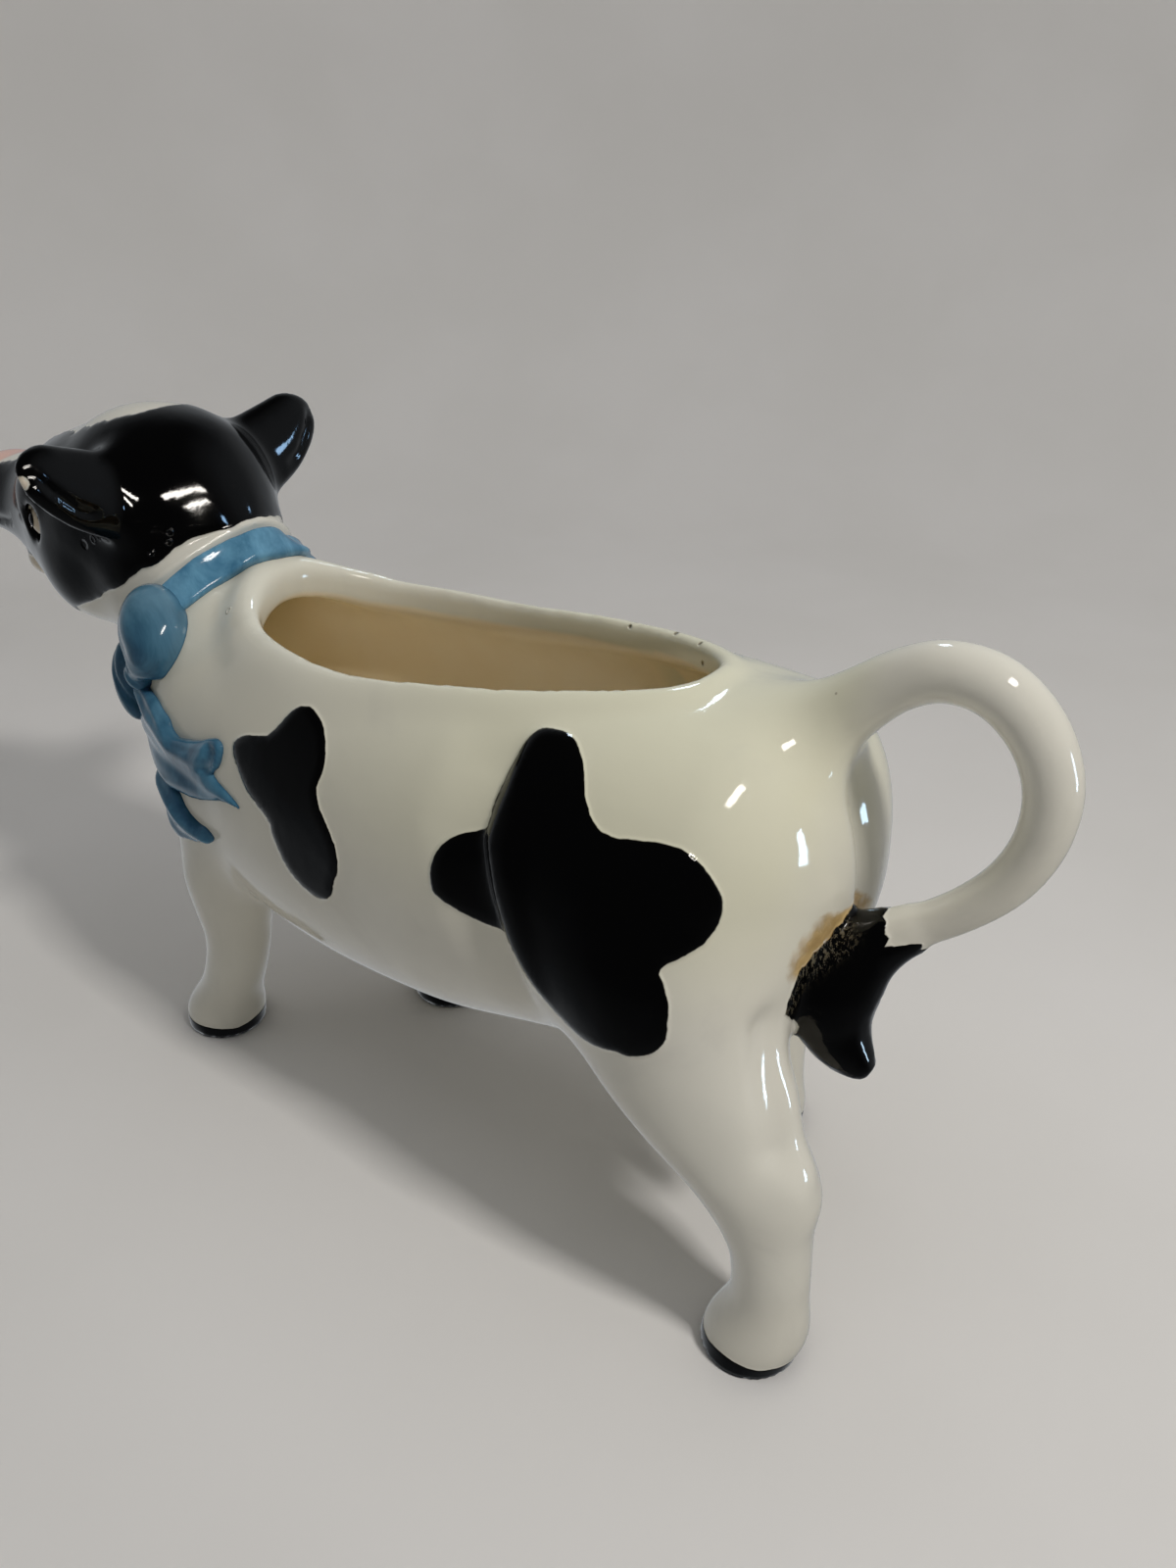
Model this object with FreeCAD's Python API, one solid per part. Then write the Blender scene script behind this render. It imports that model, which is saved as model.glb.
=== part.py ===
import FreeCAD, Part
import os
from math import sin, cos, pi, copysign

V = FreeCAD.Vector

# Cow creamer, millimetres. -X is the nose, +X the tail handle, +Y the cow's right side, +Z up.
# The origin is on the ground under the middle of the whole creamer.

# ---- driving dimensions -------------------------------------------------------------
LENGTH = 210.0            # nose to the back of the tail handle
X_TAIL = LENGTH / 2       # rearmost point of the handle
X_NOSE = -LENGTH / 2      # tip of the muzzle
WALL = 3.6                # cast wall of barrel, neck and head
HANDLE_R = 3.6            # the tail's rod, radius
RIM_X = 18.2              # middle of the filling hole
RIM_A = 39.5              # half its length
RIM_B = 17.4              # half its width
RIM_TAPER = -0.17         # it is wider towards the shoulders than towards the rump
NECK_C = V(-41.0, 0, 79.0)            # centre of the neck under the ribbon
NECK_D = V(-0.67, 0, 0.742)           # the neck rises forwards along this
RIBBON_W = 6.6            # ribbon width
RIBBON_T = 1.3            # ribbon thickness
SPOUT_R = 4.0             # the mouth's pouring hole
SOLE_R = 6.0              # flat standing face under each hoof

# barrel: x, top, bottom, half width, roundness (2 is an ellipse)
BARREL = [
    (-53.0, 66.5, 53.5, 5.0, 2.0),
    (-51.0, 72.0, 48.0, 10.0, 2.0),
    (-46.0, 78.0, 41.0, 15.5, 2.0),
    (-38.0, 83.5, 34.5, 20.0, 2.1),
    (-27.0, 86.6, 30.3, 24.0, 2.2),
    (-12.0, 87.2, 28.2, 27.0, 2.35),
    (6.0, 86.8, 27.8, 28.6, 2.4),
    (24.0, 87.2, 29.0, 29.2, 2.4),
    (42.0, 88.4, 32.0, 29.0, 2.4),
    (56.0, 89.0, 35.5, 28.0, 2.3),
    (67.0, 87.6, 39.0, 25.5, 2.2),
    (74.5, 83.6, 44.0, 21.0, 2.1),
    (79.0, 76.6, 51.5, 14.0, 2.0),
    (80.6, 71.0, 58.0, 6.5, 2.0),
]
# neck: distance along NECK_D from NECK_C, half depth, half width
NECK = [(-17.0, 24.0, 21.0), (-8.0, 20.8, 19.6), (0.0, 19.4, 18.6), (7.0, 19.0, 17.8), (13.0, 17.0, 16.0)]
# head: x, top, bottom, half width
HEAD = [
    (-32.0, 103.5, 94.0, 6.0),
    (-34.5, 107.0, 89.5, 10.5),
    (-40.0, 110.4, 83.5, 14.8),
    (-47.0, 112.2, 79.0, 17.2),
    (-56.0, 111.0, 75.4, 17.4),
    (-65.0, 108.4, 73.4, 16.6),
    (-74.0, 105.8, 74.6, 13.6),
    (-79.0, 103.4, 76.6, 11.5),
    (-84.0, 101.3, 78.8, 9.9),
    (-89.0, 100.3, 80.8, 9.1),
    (-94.0, 99.9, 82.0, 9.1),
    (-99.0, 99.9, 82.4, 9.9),
    (-102.4, 99.1, 83.0, 9.7),
    (-104.3, 97.2, 84.6, 8.2),
    (X_NOSE, 95.0, 86.6, 6.4),
]
# legs: height, middle x, middle y (left side), half length, half width
LEG_HL = [(64, 60, 17.5, 12.5, 10.0), (54, 62, 19.0, 16.0, 12.0), (44, 65, 20.0, 18.0, 11.0),
          (36, 71.4, 20.3, 14.8, 9.4), (29, 76.6, 20.4, 11.2, 7.8), (23, 79.4, 20.6, 8.0, 6.4),
          (18, 81.2, 20.7, 6.3, 5.6), (12, 82.0, 20.7, 5.6, 5.3), (7.5, 81.8, 20.7, 6.2, 5.9),
          (3.5, 81.0, 20.7, 7.2, 6.9), (1.2, 80.5, 20.7, 7.4, 7.1), (0, 80.3, 20.7, SOLE_R, SOLE_R)]
LEG_HR = [(64, 60, 17.5, 12.5, 10.0), (54, 60, 19.0, 15.6, 12.0), (44, 58.3, 20.0, 16.6, 11.0),
          (36, 57.4, 20.3, 13.8, 9.4), (28, 57.6, 20.4, 10.2, 7.6), (23, 58.6, 20.6, 8.0, 6.4),
          (18, 60.4, 20.7, 6.2, 5.6), (12, 61.2, 20.7, 5.4, 5.2), (7.5, 61.0, 20.7, 5.9, 5.7),
          (3.5, 60.2, 20.7, 7.2, 6.9), (1.2, 59.7, 20.7, 7.4, 7.1), (0, 59.5, 20.7, SOLE_R, SOLE_R)]
LEG_FL = [(56, -27, 13.5, 9.5, 9.0), (46, -27.5, 15.2, 10.4, 9.0), (37, -28.3, 15.6, 8.4, 7.8),
          (30, -28.8, 15.6, 7.1, 6.8), (24, -29.6, 15.5, 6.1, 6.0), (18, -30.8, 15.3, 5.2, 5.3),
          (12, -33.4, 15.1, 5.2, 5.2), (7.5, -36.0, 15.0, 5.8, 5.7), (3.5, -37.7, 15.0, 7.2, 6.9),
          (1.2, -38.1, 15.0, 7.4, 7.1), (0, -38.2, 15.0, SOLE_R, SOLE_R)]
LEG_FR = [(56, -27, 13.5, 9.5, 9.0), (46, -25.5, 15.2, 10.4, 9.0), (37, -22.6, 15.8, 8.4, 7.8),
          (30, -19.6, 16.2, 7.1, 6.8), (24, -16.6, 16.5, 6.1, 6.0), (18, -13.2, 16.8, 5.2, 5.3),
          (12, -11.0, 17.0, 5.2, 5.2), (7.5, -9.6, 17.0, 5.8, 5.7), (3.5, -8.6, 17.0, 7.2, 6.9),
          (1.2, -8.1, 17.0, 7.4, 7.1), (0, -8.0, 17.0, SOLE_R, SOLE_R)]
# tail handle: point on the middle of the rod, radius
TAIL = [((66.0, 0, 77.0), 8.2), ((70.5, 0, 81.6), 6.6), ((74.4, 0, 85.5), 5.0), ((78.2, 0, 89.2), 4.1),
        ((82.3, 0, 92.6), HANDLE_R), ((87.6, 0, 95.1), HANDLE_R), ((93.7, 0, 94.6), HANDLE_R),
        ((98.8, 0, 90.6), 3.5), ((101.65, 0, 84.6), 3.35), ((101.6, -0.2, 78.0), 3.1),
        ((99.0, -0.6, 71.5), 2.9), ((94.2, -1.4, 66.1), 2.7), ((88.0, -2.6, 61.5), 2.6)]
TUFT = [((88.5, -2.5, 61.9), 2.9), ((85.4, -3.4, 59.4), 3.8), ((82.6, -4.8, 56.3), 5.0),
        ((81.0, -6.2, 52.6), 6.0), ((80.9, -7.2, 48.8), 5.8), ((82.2, -8.0, 45.6), 4.7),
        ((84.2, -8.5, 43.6), 3.2), ((86.0, -8.8, 42.8), 1.4)]


# ---- helpers ------------------------------------------------------------------------
def oval(c, u, v, a, b, n=2.0, k=28):
    """Closed smooth wire round c in the plane of u and v."""
    pts = []
    for i in range(k):
        t = 2 * pi * i / k
        ct, st = cos(t), sin(t)
        pts.append(c + u * (a * copysign(abs(ct) ** (2.0 / n), ct)) + v * (b * copysign(abs(st) ** (2.0 / n), st)))
    curve = Part.BSplineCurve()
    curve.interpolate(Points=pts, PeriodicFlag=True)
    return Part.Wire([curve.toShape()])


def loft(wires):
    s = Part.makeLoft(wires, True, False)
    return s if s.Volume > 0 else s.reversed()


def along(path, grow=0.0, k=20):
    """Solid of round sections square to a path of (point, radius)."""
    pts = [V(*p) for p, r in path]
    wires = []
    for i, (p, r) in enumerate(path):
        a = pts[max(i - 1, 0)]
        b = pts[min(i + 1, len(pts) - 1)]
        t = (b - a).normalize()
        v = V(0, 1, 0)
        u = v.cross(t).normalize()
        w = t.cross(u).normalize()
        wires.append(oval(pts[i], u, w, r + grow, r + grow, 2.0, k))
    return loft(wires)


def barrel(inset=0.0):
    wires = []
    rows = BARREL if inset <= 0 else BARREL[1:-1]
    for x, zt, zb, w, n in rows:
        a, b = w - inset, (zt - zb) / 2 - inset
        wires.append(oval(V(x, 0, (zt + zb) / 2), V(0, 1, 0), V(0, 0, 1), max(a, 2.0), max(b, 2.0), n))
    return loft(wires)


def neck(inset=0.0):
    u = NECK_D.cross(V(0, 1, 0)).normalize()
    wires = []
    for s, d, w in NECK:
        wires.append(oval(NECK_C + NECK_D * s, u, V(0, 1, 0), d - inset, w - inset))
    return loft(wires)


def head(inset=0.0):
    rows = HEAD if inset <= 0 else HEAD[2:-2]
    wires = []
    for x, zt, zb, w in rows:
        wires.append(oval(V(x, 0, (zt + zb) / 2), V(0, 1, 0), V(0, 0, 1), max(w - inset, 2.0),
                          max((zt - zb) / 2 - inset, 2.0)))
    return loft(wires)


def leg(rows, side):
    wires = [oval(V(x, side * y, z), V(1, 0, 0), V(0, 1, 0), a, b) for z, x, y, a, b in rows]
    return loft(wires)


def half_space(p, d, size=400.0):
    """A big block on the side of the plane that d points to."""
    n = V(d).normalize()
    box = Part.makeBox(size, size, size, V(-size / 2, -size / 2, 0))
    box.Placement = FreeCAD.Placement(p, FreeCAD.Rotation(V(0, 0, 1), n))
    return box


def biggest(shape):
    return max(shape.Solids, key=lambda s: s.Volume)


# ---- barrel, neck and head ----------------------------------------------------------
above = half_space(NECK_C, NECK_D)
below = half_space(NECK_C, NECK_D * -1)
neck_out, neck_in = neck(), neck(WALL)
barrel_out = barrel()
trunk = barrel_out.fuse(neck_out.common(below))
skull = head().fuse(neck_out.common(above))
hollow = barrel(WALL).fuse(neck_in).fuse(head(WALL))

# filling hole: an egg-shaped prism through the back
pts = []
for i in range(40):
    t = 2 * pi * i / 40
    ct, st = cos(t), sin(t)
    k = 2.0 / 2.25
    cx = copysign(abs(ct) ** k, ct)
    pts.append(V(RIM_X + RIM_A * cx, RIM_B * copysign(abs(st) ** k, st) * (1 + RIM_TAPER * cx), 66))
curve = Part.BSplineCurve()
curve.interpolate(Points=pts, PeriodicFlag=True)
hole = Part.Face(Part.Wire([curve.toShape()])).extrude(V(0, 0, 40))

# pouring passage: from the head's hollow to the mouth, rising a little to the lips
passage = Part.makeCylinder(SPOUT_R, 40, V(-72, 0, 90.4), V(-1, 0, -0.01))

body_shell = biggest(trunk.cut(hollow).cut(hole))
head_shell = biggest(skull.cut(hollow).cut(passage))


# ---- ears ---------------------------------------------------------------------------
def ear(s):
    u = V(10, 0, -12).normalize()
    rows = [((-46.6, 11.0, 100.8), 7.0, 3.4), ((-46.0, 15.5, 101.8), 7.3, 3.0), ((-45.4, 20.0, 103.0), 7.0, 2.4),
            ((-44.6, 24.4, 104.6), 5.4, 1.9), ((-44.0, 27.4, 105.8), 3.2, 1.4), ((-43.7, 28.8, 106.4), 1.4, 0.9)]
    wires = []
    for (x, y, z), a, b in rows:
        w = u.cross(V(0.05 * s, s, 0.3)).normalize()
        wires.append(oval(V(x, s * y, z), u, w, a, b, 2.0, 20))
    return biggest(loft(wires).cut(skull))


# ---- legs ---------------------------------------------------------------------------
def leg_node(rows, s):
    return biggest(leg(rows, s).cut(trunk))


# ---- ribbon and bow -----------------------------------------------------------------
ring = neck(-RIBBON_T)
lo = half_space(NECK_C - NECK_D * (RIBBON_W / 2), NECK_D)
hi = half_space(NECK_C + NECK_D * (RIBBON_W / 2), NECK_D * -1)
neck_ribbon = biggest(ring.common(lo).common(hi).cut(trunk).cut(skull))

KNOT = [((-40.7, -20.8, 76.4), 1.2), ((-39.8, -20.8, 75.8), 2.6), ((-38.4, -20.8, 75.0), 3.2),
        ((-37.0, -20.8, 74.2), 2.6), ((-36.1, -20.8, 73.6), 1.2)]
LOOP_UP = [((-36.8, -20.6, 76.0), 1.6), ((-35.2, -20.9, 77.4), 3.4), ((-32.6, -21.2, 79.4), 5.0),
           ((-29.6, -21.2, 82.0), 5.6), ((-27.2, -20.6, 85.0), 4.8), ((-25.8, -20.0, 87.6), 2.6)]
LOOP_LOW = [((-38.0, -20.6, 74.4), 1.6), ((-39.8, -20.2, 73.2), 3.0), ((-42.6, -19.0, 71.4), 4.2),
            ((-45.4, -17.6, 69.6), 4.2), ((-47.8, -16.4, 67.6), 3.4), ((-49.4, -15.6, 65.8), 1.8)]
coat = barrel(-2.2).fuse(neck(-2.2))


def strip(points, y0=-60.0):
    """Flat outline in the XZ plane, pushed through the left flank."""
    w = Part.makePolygon([V(x, y0, z) for x, z in points] + [V(points[0][0], y0, points[0][1])])
    return Part.Face(w).extrude(V(0, 60.0 - 6.0, 0))


END_UP = [(-40.0, 75.5), (-36.9, 71.8), (-34.1, 67.9), (-28.4, 68.1), (-21.1, 67.5), (-15.0, 69.8), (-10.6, 69.3),
          (-15.1, 63.9), (-5.4, 60.8), (-16.3, 59.7), (-28.5, 57.9), (-34.7, 58.4), (-40.4, 60.3), (-43.6, 62.8),
          (-44.0, 69.0)]
END_LOW = [(-38.0, 61.0), (-26.5, 57.2), (-24.5, 54.5), (-21.5, 52.4), (-16.9, 51.6), (-22.3, 49.1), (-27.6, 48.1),
           (-29.5, 44.4), (-31.5, 47.0), (-36.5, 53.0)]

knot = biggest(along(KNOT).cut(trunk).cut(skull).cut(neck_ribbon))
loop_up = biggest(along(LOOP_UP).cut(trunk).cut(skull).cut(neck_ribbon).cut(knot))
loop_low = biggest(along(LOOP_LOW).cut(trunk).cut(skull).cut(neck_ribbon).cut(knot).cut(loop_up))
leg_fl = leg_node(LEG_FL, -1)
end_up = biggest(strip(END_UP).common(coat).cut(trunk).cut(skull).cut(neck_ribbon).cut(knot).cut(loop_up)
                 .cut(loop_low).cut(leg_fl))
end_low = biggest(strip(END_LOW).common(coat).cut(trunk).cut(skull).cut(neck_ribbon).cut(knot).cut(loop_up)
                  .cut(loop_low).cut(end_up).cut(leg_fl))

# ---- tail ---------------------------------------------------------------------------
leg_hl = leg_node(LEG_HL, -1)
leg_hr = leg_node(LEG_HR, 1)
tail_handle = biggest(along(TAIL).cut(trunk))
tail_tuft = biggest(along(TUFT).cut(trunk).cut(tail_handle).cut(leg_hl))

nodes = {
    "body_shell": body_shell,
    "head_shell": head_shell,
    "ear_left": ear(-1),
    "ear_right": ear(1),
    "leg_front_left": leg_fl,
    "leg_front_right": leg_node(LEG_FR, 1),
    "leg_hind_left": leg_hl,
    "leg_hind_right": leg_hr,
    "tail_handle": tail_handle,
    "tail_tuft": tail_tuft,
    "neck_ribbon": neck_ribbon,
    "bow_knot": knot,
    "bow_loop_upper": loop_up,
    "bow_loop_lower": loop_low,
    "ribbon_end_upper": end_up,
    "ribbon_end_lower": end_low,
}

os.makedirs("parts", exist_ok=True)
for name, shape in nodes.items():
    b = shape.BoundBox
    print("%-18s valid=%s solids=%d vol=%8.1f  x %7.1f %7.1f  y %6.1f %6.1f  z %6.1f %6.1f" % (
        name, shape.isValid(), len(shape.Solids), shape.Volume, b.XMin, b.XMax, b.YMin, b.YMax, b.ZMin, b.ZMax))
    shape.exportStep("parts/%s.step" % name)
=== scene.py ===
import math

import bpy
import numpy as np
from mathutils import Matrix, Vector


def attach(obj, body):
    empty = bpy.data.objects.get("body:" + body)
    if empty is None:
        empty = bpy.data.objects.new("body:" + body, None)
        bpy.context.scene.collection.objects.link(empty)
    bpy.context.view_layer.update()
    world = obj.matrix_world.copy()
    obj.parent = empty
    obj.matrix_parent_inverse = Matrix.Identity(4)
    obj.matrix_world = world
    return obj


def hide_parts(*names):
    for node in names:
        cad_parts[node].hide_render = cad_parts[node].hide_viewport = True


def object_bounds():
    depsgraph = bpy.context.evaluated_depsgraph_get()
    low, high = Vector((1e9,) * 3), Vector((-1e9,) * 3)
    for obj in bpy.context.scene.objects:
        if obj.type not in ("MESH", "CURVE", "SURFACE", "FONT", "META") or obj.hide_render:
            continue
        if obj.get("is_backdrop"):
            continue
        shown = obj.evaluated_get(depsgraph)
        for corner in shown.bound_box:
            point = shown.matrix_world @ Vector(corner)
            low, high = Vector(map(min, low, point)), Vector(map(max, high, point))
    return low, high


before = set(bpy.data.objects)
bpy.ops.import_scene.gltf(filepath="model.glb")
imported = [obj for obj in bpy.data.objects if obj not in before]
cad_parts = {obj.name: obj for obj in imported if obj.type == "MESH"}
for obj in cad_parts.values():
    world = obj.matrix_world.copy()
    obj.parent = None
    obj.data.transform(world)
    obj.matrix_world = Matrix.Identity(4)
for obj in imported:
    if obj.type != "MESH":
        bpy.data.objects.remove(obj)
cad_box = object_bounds()
MM = 0.001

# =====================================================================================
# Shape: one implicit surface in millimetres, negative inside. -X nose, +X tail, -Y the
# cow's left side, +Z up, the same frame as the CAD.
# =====================================================================================


def smin(a, b, k):
    h = np.clip(0.5 + 0.5 * (b - a) / k, 0.0, 1.0)
    return b + (a - b) * h - k * h * (1.0 - h)


def smax(a, b, k):
    return -smin(-a, -b, k)


def step01(x, lo, hi):
    t = np.clip((x - lo) / (hi - lo), 0.0, 1.0)
    return t * t * (3 - 2 * t)


def unit(v):
    v = np.asarray(v, float)
    return v / np.linalg.norm(v)


def pchip(k, v, x):
    """Monotone cubic through the points, constant past the ends."""
    k, v = np.asarray(k, float), np.asarray(v, float)
    h = np.diff(k)
    d = np.diff(v) / h
    m = np.zeros(len(k))
    w1, w2 = 2 * h[1:] + h[:-1], h[1:] + 2 * h[:-1]
    same = d[:-1] * d[1:] > 0
    a, b = np.where(same, d[:-1], 1.0), np.where(same, d[1:], 1.0)
    m[1:-1] = np.where(same, (w1 + w2) / (w1 / a + w2 / b), 0.0)
    m[0], m[-1] = d[0], d[-1]
    xc = np.clip(x, k[0], k[-1])
    i = np.clip(np.searchsorted(k, xc) - 1, 0, len(k) - 2)
    t = (xc - k[i]) / h[i]
    return (
        (2 * t**3 - 3 * t**2 + 1) * v[i]
        + (t**3 - 2 * t**2 + t) * h[i] * m[i]
        + (3 * t**2 - 2 * t**3) * v[i + 1]
        + (t**3 - t**2) * h[i] * m[i + 1]
    )


def blurred(y, step, sigma):
    n = int(3 * sigma / step)
    g = np.exp(-0.5 * (np.arange(-n, n + 1) * step / sigma) ** 2)
    g /= g.sum()
    return np.convolve(np.pad(y, n, mode="edge"), g, mode="valid")


class Sections:
    """A solid of smooth sections along s. Rows are (s, centre u, centre v, half u, half v). It closes like
    an ellipsoid over the last cap_lo and cap_hi before lo and hi."""

    def __init__(self, rows, lo, hi, cap_lo, cap_hi, n=2.0, sigma=2.0, power=2.0):
        rows = np.array(sorted(rows))
        self.step = 0.25
        self.x = np.arange(lo - 40, hi + 40, self.step)
        self.c = [blurred(pchip(rows[:, 0], rows[:, j], self.x), self.step, sigma) for j in range(1, 5)]
        self.d = [np.gradient(c, self.step) for c in self.c]
        up = np.maximum(self.x - (hi - cap_hi), 0) / cap_hi
        dn = np.maximum((lo + cap_lo) - self.x, 0) / cap_lo
        self.q = 1 - np.minimum(up, 3) ** power - np.minimum(dn, 3) ** power
        self.dq = np.gradient(self.q, self.step)
        self.n = n

    def inset(self, t, lo, hi, cap_lo, cap_hi):
        o = object.__new__(Sections)
        o.step, o.x, o.n = self.step, self.x, self.n
        o.c = [self.c[0], self.c[1], np.maximum(self.c[2] - t, 1.5), np.maximum(self.c[3] - t, 1.5)]
        o.d = [np.gradient(c, o.step) for c in o.c]
        up = np.maximum(o.x - (hi - cap_hi), 0) / cap_hi
        dn = np.maximum((lo + cap_lo) - o.x, 0) / cap_lo
        o.q = 1 - np.minimum(up, 3) ** 2 - np.minimum(dn, 3) ** 2
        o.dq = np.gradient(o.q, o.step)
        return o

    def __call__(self, s, u, v):
        t = np.clip((s - self.x[0]) / self.step, 0, len(self.x) - 2)
        i = t.astype(np.int32)
        t = t - i
        cu, cv, a, b = (c[i] + (c[i + 1] - c[i]) * t for c in self.c)
        dcu, dcv, da, db = (c[i] + (c[i + 1] - c[i]) * t for c in self.d)
        q = self.q[i] + (self.q[i + 1] - self.q[i]) * t
        dq = self.dq[i] + (self.dq[i + 1] - self.dq[i]) * t
        U, W = (u - cu) / a, (v - cv) / b
        au, aw = np.abs(U) + 1e-6, np.abs(W) + 1e-6
        n = self.n
        if n == 2.0:
            r2 = au * au + aw * aw
            gu, gw = 2 * U / a, 2 * W / b
            gs = -gu * dcu - gw * dcv - 2 * au * au * da / a - 2 * aw * aw * db / b
            F = r2 - q
        else:
            pu, pw = au ** (n - 1), aw ** (n - 1)
            rn = pu * au + pw * aw
            r = rn ** (1 / n)
            k = 2 * r * r ** (1 - n)
            gu, gw = k * pu * np.sign(U) / a, k * pw * np.sign(W) / b
            gs = -gu * dcu - gw * dcv - k * pu * au * da / a - k * pw * aw * db / b
            F = r * r - q
        g = np.sqrt(gu * gu + gw * gw + (gs - dq) ** 2)
        return np.maximum(F / (g + 1e-4), -20.0)


def ellipsoid(P, c, r, axes=None):
    """Approximate distance to an ellipsoid. Axes are three unit rows."""
    q = P - np.asarray(c, float)
    if axes is not None:
        q = q @ np.asarray(axes, float).T
    r = np.asarray(r, float)
    k0 = np.sqrt(((q / r) ** 2).sum(-1))
    k1 = np.sqrt(((q / (r * r)) ** 2).sum(-1)) + 1e-6
    return k0 * (k0 - 1) / k1


def smooth_path(points, n):
    """Points and radii on a smooth centripetal curve through (x, y, z, r) rows."""
    p = np.array(points, float)
    k = np.concatenate([[0], np.cumsum(np.linalg.norm(np.diff(p[:, :3], axis=0), axis=1) ** 0.5)])
    t = np.linspace(0, k[-1], n)
    out = []
    for j in range(4):
        v = p[:, j]
        m = np.gradient(v, k)
        i = np.clip(np.searchsorted(k, t) - 1, 0, len(k) - 2)
        h = k[i + 1] - k[i]
        s = (t - k[i]) / h
        out.append(
            (2 * s**3 - 3 * s**2 + 1) * v[i]
            + (s**3 - 2 * s**2 + s) * h * m[i]
            + (3 * s**2 - 2 * s**3) * v[i + 1]
            + (s**3 - s**2) * h * m[i + 1]
        )
    c = np.stack(out, 1)
    for _ in range(6):
        c[1:-1] = 0.25 * c[:-2] + 0.5 * c[1:-1] + 0.25 * c[2:]
    return c


def tube(P, path):
    """Distance to a round rod along a path of (x, y, z, r); also how far along it the point is, 0 to 1."""
    shape = P.shape[:-1]
    Q = P.reshape(-1, 3).astype(np.float32)
    best = np.full(len(Q), 1e9, np.float32)
    where = np.zeros(len(Q), np.float32)
    m = len(path) - 1
    for i in range(m):
        a, b = path[i, :3], path[i + 1, :3]
        d = (b - a).astype(np.float32)
        L = float(d @ d)
        w = Q - a.astype(np.float32)
        t = np.clip((w @ d) / L, 0, 1)
        e = w - t[:, None] * d
        dist = np.sqrt((e * e).sum(1)) - (path[i, 3] + (path[i + 1, 3] - path[i, 3]) * t)
        k = dist < best
        best[k] = dist[k]
        where[k] = (i + t[k]) / m
    return best.reshape(shape).astype(float), where.reshape(shape).astype(float)


def line_distance(P, pts):
    pts = np.array(pts, float)
    best = np.full(P.shape[:-1], 1e9)
    for a, b in zip(pts[:-1], pts[1:]):
        e = b - a
        w = P - a
        t = np.clip((w @ e) / (e @ e), 0, 1)
        best = np.minimum(best, np.sqrt(((w - t[..., None] * e) ** 2).sum(-1)))
    return best


# ---- the same driving numbers as the CAD --------------------------------------------
WALL = 3.6
RIM_X, RIM_A, RIM_B, RIM_TAPER, RIM_N = 18.2, 39.5, 17.4, -0.17, 2.25
NECK_C = np.array([-41.0, 0.0, 79.0])
NECK_D = unit([-0.67, 0.0, 0.742])
NECK_U = unit(np.cross(NECK_D, [0.0, 1.0, 0.0]))

# barrel: x, top, bottom, half width of the unclosed envelope
BARREL = [
    (-60.0, 81.0, 32.8, 16.6),
    (-46.0, 82.0, 33.8, 17.2),
    (-38.0, 82.9, 32.8, 18.7),
    (-27.0, 84.2, 31.2, 22.2),
    (-12.0, 86.4, 28.8, 26.4),
    (6.0, 87.8, 27.5, 28.6),
    (24.0, 88.4, 28.2, 29.2),
    (42.0, 88.3, 32.2, 29.0),
    (56.0, 87.9, 35.5, 28.2),
    (67.0, 87.2, 38.8, 26.2),
    (74.5, 86.6, 40.6, 24.6),
    (82.0, 86.0, 42.0, 23.4),
]
barrel = Sections([(x, 0, (t + b) / 2, w, (t - b) / 2) for x, t, b, w in BARREL], -53.6, 81.8, 27.0, 15.5, n=2.35, sigma=3.0, power=2.3)
barrel_in = barrel.inset(WALL, -49.6, 77.8, 24.0, 14.0)
NECK = [(-17.0, 20.4, 18.0), (-8.0, 17.4, 16.5), (0.0, 16.2, 15.8), (7.0, 16.2, 15.4), (13.0, 14.8, 14.0)]
neck = Sections([(s, 0, 0, d, w) for s, d, w in NECK], -21.0, 17.0, 8.0, 8.0, sigma=2.0)
neck_in = neck.inset(WALL, -19.0, 14.0, 6.0, 6.0)
HEAD = [
    (-30.0, 104.5, 86.0, 9.0),
    (-34.5, 107.6, 83.5, 11.4),
    (-40.0, 110.2, 81.0, 14.2),
    (-47.0, 111.8, 78.2, 16.6),
    (-56.0, 110.8, 75.6, 17.0),
    (-65.0, 108.6, 73.9, 16.2),
    (-71.0, 106.9, 74.2, 14.5),
    (-76.0, 105.2, 75.4, 12.6),
    (-80.0, 103.0, 77.4, 11.0),
    (-84.5, 101.2, 79.6, 9.6),
    (-89.0, 100.2, 82.0, 8.6),
    (-94.0, 99.6, 83.8, 8.3),
    (-99.0, 99.2, 84.8, 8.5),
    (-105.0, 98.4, 85.6, 8.4),
]
head = Sections([(x, 0, (t + b) / 2, w, (t - b) / 2) for x, t, b, w in HEAD], -104.9, -29.6, 9.0, 13.0, n=2.1, sigma=1.6, power=2.4)
head_in = head.inset(WALL, -90.0, -36.0, 8.0, 10.0)

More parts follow.
